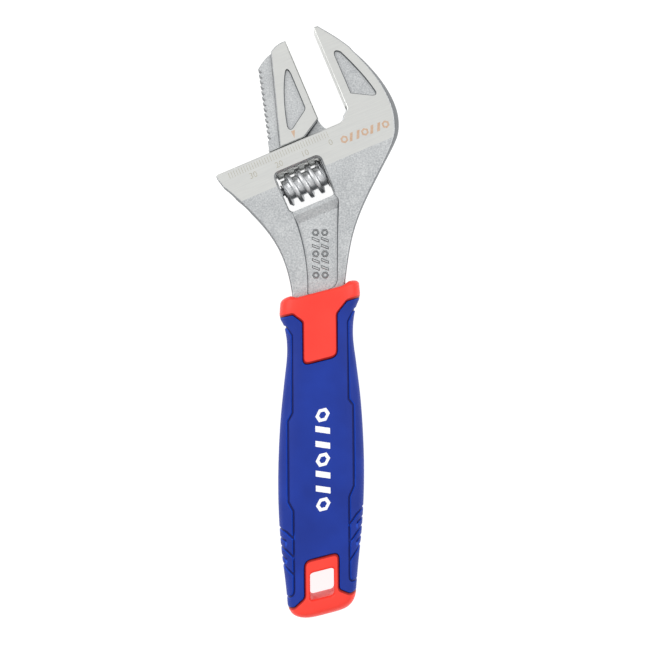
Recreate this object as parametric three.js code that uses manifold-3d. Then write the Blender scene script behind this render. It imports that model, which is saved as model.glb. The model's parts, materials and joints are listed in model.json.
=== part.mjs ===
// An adjustable wrench of the 8 inch class with a wide-opening head, lying flat with its marked face up.
// Millimetres. +Y runs along the handle to the head, +X to the fixed jaw's side, +Z up from the marked face.
// Seven real pieces: the forged body, the movable jaw, the worm that drives it, the worm's pin and spring,
// the hard core moulded on the tang, and the soft sleeve moulded over that core.
//
// Two frames are used. The handle frame has its origin on the handle's axis at the butt. The head frame has
// its origin where the fixed jaw's face meets the guide edge: u runs right along that edge and v up the face.
import * as THREE from "three";
import { mergeVertices } from "three/addons/utils/BufferGeometryUtils.js";
import Module from "manifold-3d";

const wasm = await Module();
wasm.setup();

// ---- Driving dimensions ----

// Lengths along the handle
const GRIP_LENGTH = 119; // butt to the top of the collar's shoulders
const NECK_LENGTH = 59.85; // collar top to the jaw corner
const TANG_TO_HOLE = 4; // from the end of the tang to the frame round the hang hole

// Head and jaws
const HEAD_ANGLE = THREE.MathUtils.degToRad(22.5);
const HEAD_X = 11.8; // jaw corner, to the right of the handle's axis
const HEAD_THICKNESS = 12;
const JAW_HEIGHT = 35.2; // guide edge to jaw tip
const GUIDE_LENGTH = 52.8; // jaw corner to the head's left tip
const REST_OPENING = 11;
const EDGE_BREAK = 0.5; // chamfer round the forging and the jaw
const RECESS_DEPTH = 1.1; // of the triangular pockets in both jaws
const FULL_THICKNESS_BELOW_CORNER = 33; // the head keeps its thickness this far down from the jaw corner

// Keyhole guide in the head, and the jaw's slide in it
const SLIDE_RADIUS = 4.5;
const SLIDE_DEPTH = 5.4; // guide edge to the slide's axis
const SLIDE_BEHIND_FACE = 22; // from the jaw's face back to the slide's end
const SLIDE_AHEAD_OF_FACE = 10;
const GUIDE_CLEARANCE = 0.3;
const TONGUE_THICKNESS = 5;
const TONGUE_AHEAD_OF_FACE = 2.7;
const SLOT_TOP = 5.2; // the tongue's slot also cuts the throat's fillet, up to here

// Movable jaw
const JAW_THICKNESS = 11.8;
const TOOTHED_THICKNESS = 8.6;
const JAW_LIFT = 0.3; // gap between the jaw's underside and the guide edge
const PIPE_TOOTH_PITCH = 2;
const PIPE_TOOTH_DEPTH = 1.1;

// Worm, with a right-hand thread of one start
const WORM_PITCH = 4;
const WORM_RADIUS = 6.05;
const THREAD_DEPTH = 2.2;
const CREST_WIDTH = 0.8;
const THREAD_ROOT_WIDTH = 2;
const WORM_LENGTH = 15.9;
const WORM_END_CHAMFER = 1;
const RACK_TIP_CLEARANCE = 0.65; // from a rack tooth's tip to the worm's root
const RACK_ROOT_CLEARANCE = 0.45; // from the worm's crest to the root of the rack
const FLANK_CLEARANCE = 0.28; // along the axis, on each side of a rack tooth
const CREST_PHASE = 29.4; // from the jaw corner back to a crest at the top of the worm
const WORM_STEPS_PER_TURN = 16;

// Window for the worm
const WINDOW_RIGHT = 15.9; // from the jaw corner back to the window's right wall
const WORM_END_GAP = 0.35;
const SPRING_GAP = 1.05; // between the worm's left end and the window's left wall
const THUMB_GAP = 2.3; // under the worm
const WINDOW_TOP = 7.9; // guide edge to the window
const WINDOW_CORNER = 1.2;

// Pin and spring
const PIN_RADIUS = 1.5;
const PIN_CLEARANCE = 0.3;
const PIN_SEAT = 7; // how far the pin enters the wall right of the window
const PIN_SINK = 1; // how far the pin's head lies below the head's side
const SIDE_INSET_AT_PIN = 5.7; // the head's side slants in this far from its left tip, at the pin's height
const PIN_HEAD_RADIUS = 2.4;
const PIN_HEAD_LENGTH = 2.6;
const DRIVER_SLOT = { width: 0.7, depth: 1 };
const SPRING_WIRE = 0.5;
const SPRING_POCKET_RADIUS = 3.05;
const SPRING_POCKET_DEPTH = 4;
const SPRING_TURNS = 4;

// Neck and tang
const NECK_LEFT = 10.2; // handle's axis to the neck's left side at the collar
const NECK_RIGHT = 9.3;
const NECK_THICKNESS = 9.6;
const NECK_ABOVE_COLLAR = 2; // the neck keeps its thickness and its width for this far
const NECK_LEFT_BELOW_COLLAR = 4; // the neck's left side runs straight from here down
const NECK_STEP_ABOVE_SLEEVE = 1.3; // the neck begins to step down to the tang this far above the collar's base
const SHOULDER_TAPER = 5; // length of that step
const TANG_HALF_WIDTH = 5.8;
const TANG_THICKNESS = 5;
const PANEL_DEPTH = 1.3; // of the recessed panel on each side of the neck
const PANEL_IN_WINDOW = 1; // the panel starts this far inside the window

// Grip: cross features climb towards the right at the rake angle
const GRIP_RAKE = THREE.MathUtils.degToRad(14);
const GRIP_THICKNESS = 19;
const WAIST_THICKNESS = 17;
const BUTT_THICKNESS = 17;
const GRIP_ROUNDING = 2.6;
const ROUNDING_STEPS = 3;
const COLLAR_HALF_WIDTH = 14.5;
const COLLAR_HEIGHT = 7.7;
const COLLAR_CORNER = 4;
const COLLAR_SADDLE = 1.6; // dip of the collar's rim where the neck passes
const WAIST_HALF_WIDTH = 11.9;
const WAIST_BELOW_TOP = 19.5;
const BELLY_HALF_WIDTH = 15.55;
const BELLY_HEIGHT = 51;
const BELLY_FLAT = 12; // the broad faces are flat this far above and below the belly's height
const BUTT_HALF_WIDTH = 12.6;
const BUTT_RIGHT = { flat: 5.7, corner: 8 }; // half-width of the straight end, and height where the side begins
const BUTT_LEFT = { flat: 0, corner: 9.5 }; // the left corner is rounder
const BUTT_RISE = 0.8;
const INSERT_HALF_WIDTH = 6.3; // the core's tab that shows below the collar
const INSERT_LENGTH = 19.2; // below the collar
const INSERT_CORNER = 1.8;
const SHOULDER_HALF_WIDTH = 9.7;
const SHOULDER_DROP = 3;
const CAP_HEIGHT = 7; // of the core's end cap, at the sides
const FRAME_WALL = 1.8; // the cap's frame beside the hang hole
const FRAME_MARGIN = 4.2; // frame above the hang hole
const HOLE_HALF_WIDTH = 4.45;
const HOLE_BOTTOM = 6.95;
const HOLE_HEIGHT = 11.4;
const HOLE_CORNER = 1.2;
const CORE_WALL = 2.2; // core beside the tang
const CORE_COVER = 0.5; // core over the neck's faces
const MOULD_GAP = 0.3; // between two pieces that are moulded or pressed together

const CURVE_STEPS = 8;
const ROUND_SIDES = 32;

// ---- Sizes that follow ----

const HEAD_Y = GRIP_LENGTH + NECK_LENGTH;
const HEAD_FRAME = new THREE.Matrix4().makeRotationZ(HEAD_ANGLE).setPosition(HEAD_X, HEAD_Y, 0);
const GUIDE_RADIUS = SLIDE_RADIUS + GUIDE_CLEARANCE;
const GUIDE_RIGHT_END = SLIDE_AHEAD_OF_FACE + 2 * GUIDE_CLEARANCE;
const WORM_ROOT_RADIUS = WORM_RADIUS - THREAD_DEPTH;
const RACK_TIP_V = -SLIDE_DEPTH - SLIDE_RADIUS;
const WORM_V = RACK_TIP_V - RACK_TIP_CLEARANCE - WORM_ROOT_RADIUS;
const PIN_HEAD_U = SIDE_INSET_AT_PIN - GUIDE_LENGTH; // where the pin's axis leaves the head's left side
const WORM_RIGHT_U = -WINDOW_RIGHT - WORM_END_GAP;
const WORM_LEFT_U = WORM_RIGHT_U - WORM_LENGTH;
const WINDOW_LEFT_U = WORM_LEFT_U - SPRING_GAP;
const WINDOW_BOTTOM_V = WORM_V - WORM_RADIUS - THUMB_GAP;
const HOLE_TOP = HOLE_BOTTOM + HOLE_HEIGHT;
const FRAME_TOP = HOLE_TOP + FRAME_MARGIN;
const FRAME_HALF_WIDTH = HOLE_HALF_WIDTH + FRAME_WALL;
const CORE_BAR_HALF_WIDTH = TANG_HALF_WIDTH + CORE_WALL;
const CORE_BAR_THICKNESS = NECK_THICKNESS + 2 * CORE_COVER;
const COLLAR_BOTTOM = GRIP_LENGTH - COLLAR_HEIGHT;
const NECK_END = COLLAR_BOTTOM + NECK_STEP_ABOVE_SLEEVE;
const TANG_START = NECK_END - SHOULDER_TAPER;
const TANG_END = FRAME_TOP + TANG_TO_HOLE;
const PAST = 5; // how far a cutter runs past what it cuts

// ---- Materials ----

const STEEL = new THREE.MeshStandardMaterial({ color: 0xc9cbca, roughness: 0.38, metalness: 1 });
const JAW_STEEL = new THREE.MeshStandardMaterial({ color: 0xd2d3d0, roughness: 0.34, metalness: 1 });
const WORM_STEEL = new THREE.MeshStandardMaterial({ color: 0xb9bbbd, roughness: 0.3, metalness: 1 });
const PIN_STEEL = new THREE.MeshStandardMaterial({ color: 0x9a9c9f, roughness: 0.4, metalness: 1 });
const SPRING_STEEL = new THREE.MeshStandardMaterial({ color: 0x77797c, roughness: 0.35, metalness: 1 });
const HARD_RED = new THREE.MeshStandardMaterial({ color: 0xf9503f, roughness: 0.45, metalness: 0 });
const SOFT_BLUE = new THREE.MeshStandardMaterial({ color: 0x253f9e, roughness: 0.6, metalness: 0 });

// ---- Solids from three.js geometry ----

// A closed geometry as a solid that can be joined and cut.
function solidOf(geometry) {
  const bare = geometry.index ? geometry.toNonIndexed() : geometry.clone();
  bare.deleteAttribute("normal");
  bare.deleteAttribute("uv");
  const merged = mergeVertices(bare);
  const vertProperties = merged.attributes.position.array;
  const triVerts = new Uint32Array(merged.index.array);
  return new wasm.Manifold(new wasm.Mesh({ numProp: 3, vertProperties, triVerts }));
}

// The same, for a geometry drawn in the head frame.
const headSolid = (geometry) => solidOf(geometry.applyMatrix4(HEAD_FRAME));

// The same, for a geometry drawn square and then raked with the grip.
const RAKE = new THREE.Matrix4().makeShear(Math.tan(GRIP_RAKE), 0, 0, 0, 0, 0);
const rakedSolid = (geometry) => solidOf(geometry.applyMatrix4(RAKE));

// A solid back as a mesh with its node's name.
function meshOf(name, solid, material) {
  const { vertProperties, triVerts } = solid.getMesh();
  const indexed = new THREE.BufferGeometry();
  indexed.setAttribute("position", new THREE.BufferAttribute(vertProperties, 3));
  indexed.setIndex(new THREE.BufferAttribute(triVerts, 1));
  const geometry = indexed.toNonIndexed();
  geometry.computeVertexNormals();
  const mesh = new THREE.Mesh(geometry, material);
  mesh.name = name;
  return mesh;
}

// An outline made a slab of the given thickness about the mid-plane, its edges broken by `edge`.
function slab(outline, thickness, edge = 0, edgeSteps = 1) {
  const geometry = new THREE.ExtrudeGeometry(outline, {
    depth: thickness - 2 * edge,
    curveSegments: CURVE_STEPS,
    bevelEnabled: edge > 0,
    bevelThickness: edge,
    bevelSize: edge,
    bevelOffset: -edge,
    bevelSegments: edgeSteps,
  });
  return geometry.translate(0, 0, edge - thickness / 2);
}

// A rod along u from one u to another, at height v.
function rod(radius, fromU, toU, v) {
  const geometry = new THREE.CylinderGeometry(radius, radius, toU - fromU, ROUND_SIDES);
  return geometry.rotateZ(-Math.PI / 2).translate((fromU + toU) / 2, v, 0);
}

// A block between two corners in the plane, of the given thickness about the mid-plane.
function block(fromX, fromY, toX, toY, thickness) {
  const geometry = new THREE.BoxGeometry(toX - fromX, toY - fromY, thickness);
  return geometry.translate((fromX + toX) / 2, (fromY + toY) / 2, 0);
}

// A closed outline through corner points.
const polygon = (corners) => new THREE.Shape(corners.map(([x, y]) => new THREE.Vector2(x, y)));

// A rectangle with round corners.
function roundedRectangle(left, bottom, right, top, radius) {
  const shape = new THREE.Shape();
  shape.absarc(left + radius, bottom + radius, radius, Math.PI, 1.5 * Math.PI);
  shape.absarc(right - radius, bottom + radius, radius, -0.5 * Math.PI, 0);
  shape.absarc(right - radius, top - radius, radius, 0, 0.5 * Math.PI);
  shape.absarc(left + radius, top - radius, radius, 0.5 * Math.PI, Math.PI);
  return shape;
}

// The same cutter on both faces: a slab of the outline that enters each face by `depth`.
function bothFaces(outline, thickness, depth, makeSolid) {
  const shift = thickness / 2 - depth + PAST / 2;
  const front = makeSolid(slab(outline, PAST).translate(0, 0, shift));
  const back = makeSolid(slab(outline, PAST).translate(0, 0, -shift));
  return front.add(back);
}

// ---- Forged body: fixed jaw, guide, neck and tang ----

// A point of the head frame, in the handle frame.
function fromHead(u, v) {
  const point = new THREE.Vector3(u, v, 0).applyMatrix4(HEAD_FRAME);
  return [point.x, point.y];
}

// A point measured from the jaw corner, along the handle's own directions.
const fromCorner = (x, y) => [HEAD_X + x, HEAD_Y + y];

// A point of the square grip, raked with it.
const raked = (x, y) => [x, y + x * Math.tan(GRIP_RAKE)];

function bodyOutline() {
  const outline = new THREE.Shape();
  outline.moveTo(...fromHead(-GUIDE_LENGTH + 0.9, 0));
  outline.lineTo(...fromHead(-5.2, 0));
  // throat: a fillet, then a step up to the gripping face
  outline.quadraticCurveTo(...fromHead(-3, 0), ...fromHead(-2.3, 1.9));
  outline.quadraticCurveTo(...fromHead(-1.2, 2.6), ...fromHead(0, 3.8));
  outline.lineTo(...fromHead(0, JAW_HEIGHT - 0.9));
  outline.quadraticCurveTo(...fromHead(0, JAW_HEIGHT), ...fromHead(0.9, JAW_HEIGHT));
  outline.lineTo(...fromHead(1.8, JAW_HEIGHT - 0.1));
  // back of the fixed jaw, its bulge, and the right side of the neck
  outline.bezierCurveTo(...fromHead(11, JAW_HEIGHT - 9.7), ...fromHead(20.4, 4), ...fromCorner(17.2, -1.6));
  outline.bezierCurveTo(...fromCorner(17.2, -7), ...fromCorner(16, -7.7), ...fromCorner(8.2, -22.8));
  const neckTop = GRIP_LENGTH + NECK_ABOVE_COLLAR;
  outline.bezierCurveTo(...fromCorner(0.1, -38.3), ...fromCorner(-0.5, -43.6), NECK_RIGHT, neckTop);
  // neck inside the collar, the tang, and back up
  outline.lineTo(...raked(NECK_RIGHT, NECK_END));
  outline.lineTo(...raked(TANG_HALF_WIDTH, TANG_START));
  outline.lineTo(TANG_HALF_WIDTH, TANG_END);
  outline.lineTo(-TANG_HALF_WIDTH, TANG_END);
  outline.lineTo(...raked(-TANG_HALF_WIDTH, TANG_START));
  outline.lineTo(...raked(-NECK_LEFT, NECK_END));
  outline.lineTo(-NECK_LEFT, GRIP_LENGTH - NECK_LEFT_BELOW_COLLAR);
  // left side of the neck, up to the head's left tip
  const tipUnderside = fromHead(-GUIDE_LENGTH + 0.8, -4.9);
  outline.bezierCurveTo(...fromCorner(-24, -45.9), ...fromCorner(-29.7, -38.9), ...tipUnderside);
  outline.lineTo(...fromHead(-GUIDE_LENGTH, -1.4));
  outline.quadraticCurveTo(...fromHead(-GUIDE_LENGTH - 0.2, 0), ...fromHead(-GUIDE_LENGTH + 0.9, 0));
  return outline;
}

// Seen from the side: the head's thickness tapers through the neck to the collar, then steps to the tang.
function bodySideProfile() {
  const head = HEAD_THICKNESS / 2;
  const neck = NECK_THICKNESS / 2;
  const tang = TANG_THICKNESS / 2;
  const thinUpTo = raked(TANG_HALF_WIDTH, TANG_START)[1];
  const rightSide = [
    [tang, TANG_END - PAST],
    [tang, thinUpTo],
    [neck, NECK_END],
    [neck, GRIP_LENGTH + NECK_ABOVE_COLLAR],
    [head, HEAD_Y - FULL_THICKNESS_BELOW_CORNER],
    [head, HEAD_Y + JAW_HEIGHT + PAST],
  ];
  const leftSide = rightSide.map(([z, y]) => [-z, y]).reverse();
  return polygon([...rightSide, ...leftSide]);
}

function fixedJawRecess() {
  const top = JAW_HEIGHT - 11;
  const recess = new THREE.Shape();
  recess.moveTo(3.4, 8.3);
  recess.lineTo(10.4, 4.5);
  recess.quadraticCurveTo(11.9, 4.1, 11.5, 5.7);
  recess.quadraticCurveTo(9.6, (top + 10) / 2, 5.4, top - 1);
  recess.quadraticCurveTo(3.6, top + 0.8, 3.4, top - 1.2);
  return recess;
}

// The panel starts inside the window and ends with a round corner at the collar.
function neckPanel() {
  const panel = new THREE.Shape();
  panel.moveTo(...fromHead(WINDOW_LEFT_U + 0.6, WINDOW_BOTTOM_V + PANEL_IN_WINDOW));
  panel.bezierCurveTo(...fromCorner(-19.5, -38), ...fromCorner(-16, -46), -4.4, GRIP_LENGTH - 2.5);
  panel.lineTo(4.2, GRIP_LENGTH - 0.4);
  panel.quadraticCurveTo(6.4, GRIP_LENGTH + 0.6, 6.4, GRIP_LENGTH + 3);
  panel.lineTo(...fromCorner(-5.1, -30));
  panel.lineTo(...fromHead(-WINDOW_RIGHT - 0.3, WINDOW_BOTTOM_V + PANEL_IN_WINDOW));
  return panel;
}

function wrenchBody() {
  const width = 4 * GUIDE_LENGTH;
  const sideProfile = new THREE.ExtrudeGeometry(bodySideProfile(), { depth: width, bevelEnabled: false });
  sideProfile.translate(0, 0, -width / 2).rotateY(Math.PI / 2);
  const window = roundedRectangle(WINDOW_LEFT_U, WINDOW_BOTTOM_V, -WINDOW_RIGHT, -WINDOW_TOP, WINDOW_CORNER);
  const slotHalf = TONGUE_THICKNESS / 2 + GUIDE_CLEARANCE;
  const slotRight = TONGUE_AHEAD_OF_FACE + 2 * GUIDE_CLEARANCE;
  const headRadius = PIN_HEAD_RADIUS + PIN_CLEARANCE;
  const thick = HEAD_THICKNESS + PAST;
  const cuts = [
    headSolid(rod(GUIDE_RADIUS, -GUIDE_LENGTH - PAST, GUIDE_RIGHT_END, -SLIDE_DEPTH)),
    headSolid(block(-GUIDE_LENGTH - PAST, -SLIDE_DEPTH, slotRight, SLOT_TOP, 2 * slotHalf)),
    headSolid(slab(window, thick)),
    headSolid(rod(PIN_RADIUS + PIN_CLEARANCE, -GUIDE_LENGTH, -WINDOW_RIGHT + PIN_SEAT, WORM_V)),
    headSolid(rod(headRadius, -GUIDE_LENGTH - PAST, PIN_HEAD_U + PIN_HEAD_LENGTH + MOULD_GAP, WORM_V)),
    bothFaces(fixedJawRecess(), HEAD_THICKNESS, RECESS_DEPTH, headSolid),
    bothFaces(neckPanel(), NECK_THICKNESS, PANEL_DEPTH, solidOf),
  ];
  const forging = solidOf(slab(bodyOutline(), HEAD_THICKNESS, EDGE_BREAK)).intersect(solidOf(sideProfile));
  const body = cuts.reduce((solid, cut) => solid.subtract(cut), forging);
  return meshOf("wrench_body", body, STEEL);
}

// ---- Movable jaw, drawn in the head frame with its face at u = 0 ----

// The jaw narrows from the guide edge up to its tip; both of its long edges lean by these amounts.
const STEP_LINE = { topU: -6.3, bottomU: -16.5 };
const TOOTH_LINE = { topU: -12.9, topV: JAW_HEIGHT - 6, bottomU: -20.7 };

function smoothJawOutline() {
  const outline = new THREE.Shape();
  outline.moveTo(0, 4.4);
  outline.lineTo(0, JAW_HEIGHT - 0.6);
  outline.quadraticCurveTo(-3.2, JAW_HEIGHT - 0.2, STEP_LINE.topU, JAW_HEIGHT - 2.2);
  outline.lineTo(STEP_LINE.bottomU, JAW_LIFT);
  outline.lineTo(-7.2, JAW_LIFT);
  outline.lineTo(-4.2, 0.8);
  return outline;
}

// The thinner back of the jaw, with saw teeth that grip a pipe.
function toothedJawOutline() {
  const { topU, topV, bottomU } = TOOTH_LINE;
  const top = new THREE.Vector2(topU, topV);
  const bottom = new THREE.Vector2(bottomU, JAW_LIFT);
  const along = bottom.clone().sub(top).normalize();
  const inward = new THREE.Vector2(-along.y, along.x).multiplyScalar(PIPE_TOOTH_DEPTH);
  const count = Math.floor(top.distanceTo(bottom) / PIPE_TOOTH_PITCH) - 1;
  const outline = new THREE.Shape();
  outline.moveTo(STEP_LINE.topU + 1, JAW_HEIGHT - 2.5);
  outline.quadraticCurveTo(STEP_LINE.topU - 2.5, topV + 3.3, topU, topV);
  for (let i = 0; i < count; i += 1) {
    const tip = top.clone().addScaledVector(along, PIPE_TOOTH_PITCH * i);
    const gullet = tip.clone().addScaledVector(along, PIPE_TOOTH_PITCH * 0.6).add(inward);
    outline.lineTo(tip.x, tip.y);
    outline.lineTo(gullet.x, gullet.y);
  }
  const lastTip = top.clone().addScaledVector(along, PIPE_TOOTH_PITCH * count);
  outline.lineTo(lastTip.x, lastTip.y);
  outline.lineTo(bottom.x, bottom.y);
  outline.lineTo(STEP_LINE.bottomU + 2, JAW_LIFT);
  return outline;
}

// The thin tongue that joins the jaw to its slide through the guide's slot.
function tongueOutline() {
  const tongue = new THREE.Shape();
  tongue.moveTo(TOOTH_LINE.bottomU, JAW_LIFT + 1);
  tongue.lineTo(TOOTH_LINE.bottomU, -SLIDE_DEPTH);
  tongue.lineTo(TONGUE_AHEAD_OF_FACE, -SLIDE_DEPTH);
  tongue.lineTo(TONGUE_AHEAD_OF_FACE, -JAW_LIFT);
  tongue.quadraticCurveTo(0.4, 0, -0.1, 4.5);
  tongue.lineTo(-2, 6);
  return tongue;
}

function movableJawRecess() {
  const top = JAW_HEIGHT - 10.6;
  const recess = new THREE.Shape();
  recess.moveTo(-2.9, 10.2);
  recess.lineTo(-2.9, top - 1.4);
  recess.quadraticCurveTo(-3.2, top + 1.4, -4.4, top - 0.8);
  recess.quadraticCurveTo(-8.6, (top + 8) / 2, -11, 5.9);
  recess.quadraticCurveTo(-11, 4.5, -9.8, 4.9);
  recess.lineTo(-3.6, 9);
  recess.quadraticCurveTo(-2.9, 9.5, -2.9, 10.2);
  return recess;
}

// Width of the thread's axial section at a radius.
function threadWidth(radius) {
  const share = (WORM_RADIUS - radius) / THREAD_DEPTH;
  return CREST_WIDTH + share * (THREAD_ROOT_WIDTH - CREST_WIDTH);
}

// One gap of the rack, cut from below and turned to the thread's lead. The gaps meet the worm's crests.
function rackGap(u) {
  const axisToTip = RACK_TIP_V - WORM_V;
  const rootV = WORM_V + WORM_RADIUS + RACK_ROOT_CLEARANCE;
  const tipHalf = threadWidth(axisToTip) / 2 + FLANK_CLEARANCE;
  const slope = (THREAD_ROOT_WIDTH - CREST_WIDTH) / (2 * THREAD_DEPTH);
  const rootHalf = tipHalf - slope * (rootV - RACK_TIP_V);
  const mouthHalf = tipHalf + slope * PAST;
  const gap = polygon([
    [-mouthHalf, RACK_TIP_V - PAST],
    [mouthHalf, RACK_TIP_V - PAST],
    [rootHalf, rootV],
    [-rootHalf, rootV],
  ]);
  const meshRadius = (WORM_RADIUS + axisToTip) / 2;
  const lead = Math.atan(WORM_PITCH / (2 * Math.PI * meshRadius));
  return slab(gap, 4 * SLIDE_RADIUS).rotateY(lead).translate(u, 0, 0);
}

function movableJaw() {
  const slideLeft = -SLIDE_BEHIND_FACE;
  const parts = [
    slab(toothedJawOutline(), TOOTHED_THICKNESS),
    slab(tongueOutline(), TONGUE_THICKNESS),
    rod(SLIDE_RADIUS, slideLeft, SLIDE_AHEAD_OF_FACE, -SLIDE_DEPTH),
  ];
  let jaw = solidOf(slab(smoothJawOutline(), JAW_THICKNESS, EDGE_BREAK));
  jaw = parts.reduce((solid, part) => solid.add(solidOf(part)), jaw);
  jaw = jaw.subtract(bothFaces(movableJawRecess(), JAW_THICKNESS, RECESS_DEPTH, solidOf));
  const crestToFace = REST_OPENING - CREST_PHASE;
  const gapsBefore = Math.ceil((slideLeft - WORM_PITCH / 2 - crestToFace) / WORM_PITCH);
  const firstGap = crestToFace + WORM_PITCH * gapsBefore;
  for (let u = firstGap; u < SLIDE_AHEAD_OF_FACE + WORM_PITCH / 2; u += WORM_PITCH) {
    jaw = jaw.subtract(solidOf(rackGap(u)));
  }
  const mesh = meshOf("movable_jaw", jaw, JAW_STEEL);
  mesh.position.x = -REST_OPENING;
  return mesh;
}

// ---- Worm, its pin and its spring, drawn in the head frame ----

// The worm's cross section is the thread's profile wrapped round a circle: one pitch is one turn.
function wormSection() {
  const turnPerMm = (2 * Math.PI) / WORM_PITCH;
  const crest = (CREST_WIDTH / 2) * turnPerMm;
  const root = (THREAD_ROOT_WIDTH / 2) * turnPerMm;
  const corners = [
    [-crest, WORM_RADIUS],
    [0, WORM_RADIUS],
    [crest, WORM_RADIUS],
    [(crest + root) / 2, WORM_RADIUS - THREAD_DEPTH / 2],
  ];
  const rootSteps = 8;
  const rootArc = 2 * Math.PI - 2 * root;
  for (let i = 0; i <= rootSteps; i += 1) {
    corners.push([root + (rootArc * i) / rootSteps, WORM_ROOT_RADIUS]);
  }
  corners.push([-(crest + root) / 2, WORM_RADIUS - THREAD_DEPTH / 2]);
  return polygon(corners.map(([angle, radius]) => [radius * Math.cos(angle), radius * Math.sin(angle)]));
}

// A straight extrusion of that section, twisted one turn per pitch about its own axis.
function twistedWorm() {
  const steps = Math.ceil((WORM_LENGTH / WORM_PITCH) * WORM_STEPS_PER_TURN);
  const geometry = new THREE.ExtrudeGeometry(wormSection(), { depth: WORM_LENGTH, steps, bevelEnabled: false });
  const places = geometry.attributes.position;
  const place = new THREE.Vector3();
  const axis = new THREE.Vector3(0, 0, 1);
  for (let i = 0; i < places.count; i += 1) {
    place.fromBufferAttribute(places, i);
    place.applyAxisAngle(axis, (2 * Math.PI * place.z) / WORM_PITCH);
    places.setXYZ(i, place.x, place.y, place.z);
  }
  return geometry;
}

// A barrel with chamfered ends, which trims the thread's sharp run-outs.
function wormBarrel() {
  const radius = WORM_RADIUS + 0.01;
  const profile = [
    [0, 0],
    [radius - WORM_END_CHAMFER, 0],
    [radius, WORM_END_CHAMFER],
    [radius, WORM_LENGTH - WORM_END_CHAMFER],
    [radius - WORM_END_CHAMFER, WORM_LENGTH],
    [0, WORM_LENGTH],
  ];
  const points = profile.map(([r, y]) => new THREE.Vector2(r, y));
  return new THREE.LatheGeometry(points, ROUND_SIDES).rotateZ(-Math.PI / 2);
}

function worm() {
  // The extrusion's axis turns from z to u, which brings its section's x to v.
  const toU = new THREE.Matrix4().makeBasis(
    new THREE.Vector3(0, 1, 0),
    new THREE.Vector3(0, 0, 1),
    new THREE.Vector3(1, 0, 0),
  );
  const phase = (2 * Math.PI * (WORM_LEFT_U + CREST_PHASE)) / WORM_PITCH;
  const thread = solidOf(twistedWorm().applyMatrix4(toU).rotateX(phase));
  const bore = rod(PIN_RADIUS + PIN_CLEARANCE, -PAST, WORM_LENGTH + PAST, 0);
  const pocket = rod(SPRING_POCKET_RADIUS, -PAST, SPRING_POCKET_DEPTH, 0);
  const solid = thread.intersect(solidOf(wormBarrel())).subtract(solidOf(bore)).subtract(solidOf(pocket));
  const mesh = meshOf("adjusting_worm", solid, WORM_STEEL);
  mesh.position.set(WORM_LEFT_U, WORM_V, 0);
  return mesh;
}

function wormPin() {
  const left = PIN_HEAD_U + PIN_SINK;
  const right = -WINDOW_RIGHT + PIN_SEAT - MOULD_GAP;
  const shank = rod(PIN_RADIUS, left, right, WORM_V);
  const head = rod(PIN_HEAD_RADIUS, left, PIN_HEAD_U + PIN_HEAD_LENGTH, WORM_V);
  const slotHalf = DRIVER_SLOT.width / 2;
  const slot = block(left - PAST, WORM_V - slotHalf, left + DRIVER_SLOT.depth, WORM_V + slotHalf, PAST * 2);
  return meshOf("worm_pin", solidOf(shank).add(solidOf(head)).subtract(solidOf(slot)), PIN_STEEL);
}

class Coil extends THREE.Curve {
  constructor(radius, length, turns) {
    super();
    Object.assign(this, { radius, length, turns });
  }

  getPoint(t, target = new THREE.Vector3()) {
    const angle = 2 * Math.PI * this.turns * t;
    return target.set(this.length * t, this.radius * Math.cos(angle), this.radius * Math.sin(angle));
  }
}

function wormSpring() {
  const wire = SPRING_WIRE / 2;
  const left = WINDOW_LEFT_U + MOULD_GAP + wire;
  const right = WORM_LEFT_U + SPRING_POCKET_DEPTH - MOULD_GAP - wire;
  const coilRadius = (PIN_RADIUS + SPRING_POCKET_RADIUS) / 2;
  const section = new THREE.Shape().absarc(0, 0, wire, 0, 2 * Math.PI);
  const geometry = new THREE.ExtrudeGeometry(section, {
    extrudePath: new Coil(coilRadius, right - left, SPRING_TURNS),
    steps: SPRING_TURNS * 14,
    curveSegments: 7,
    bevelEnabled: false,
  });
  return meshOf("worm_spring", solidOf(geometry.translate(left, WORM_V, 0)), SPRING_STEEL);
}

// ---- Grip, drawn square in its own frame and then raked ----

// One side of the grip, from the butt up to the rim of the collar.
function gripSide({ flat, corner }) {
  const waist = GRIP_LENGTH - WAIST_BELOW_TOP;
  const side = new THREE.Path();
  side.moveTo(flat, BUTT_RISE);
  side.quadraticCurveTo(BUTT_HALF_WIDTH, BUTT_RISE, BUTT_HALF_WIDTH, corner);
  side.bezierCurveTo(BUTT_HALF_WIDTH + 1, 20, BELLY_HALF_WIDTH, BELLY_HEIGHT - 16, BELLY_HALF_WIDTH, BELLY_HEIGHT);
  side.bezierCurveTo(BELLY_HALF_WIDTH, BELLY_HEIGHT + 29, WAIST_HALF_WIDTH, waist - 8, WAIST_HALF_WIDTH, waist);
  side.bezierCurveTo(WAIST_HALF_WIDTH, waist + 4.5, 12.6, COLLAR_BOTTOM - 3.5, COLLAR_HALF_WIDTH, COLLAR_BOTTOM);
  side.lineTo(COLLAR_HALF_WIDTH, GRIP_LENGTH - COLLAR_CORNER);
  side.quadraticCurveTo(COLLAR_HALF_WIDTH, GRIP_LENGTH, COLLAR_HALF_WIDTH - COLLAR_CORNER, GRIP_LENGTH);
  return side.getPoints(CURVE_STEPS);
}

function gripOutline() {
  const right = gripSide(BUTT_RIGHT);
  const left = gripSide(BUTT_LEFT);
  const mirrored = left.map((point) => new THREE.Vector2(-point.x, point.y)).reverse();
  return new THREE.Shape([...right, ...mirrored]);
}

// The dip in the collar's rim, between its two shoulders.
function saddleOutline() {
  const rim = GRIP_LENGTH - COLLAR_SADDLE;
  const half = Math.max(NECK_LEFT, NECK_RIGHT);
  return polygon([
    [-half + COLLAR_SADDLE, rim],
    [half - COLLAR_SADDLE, rim],
    [half + PAST, GRIP_LENGTH + PAST],
    [-half - PAST, GRIP_LENGTH + PAST],
  ]);
}

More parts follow.
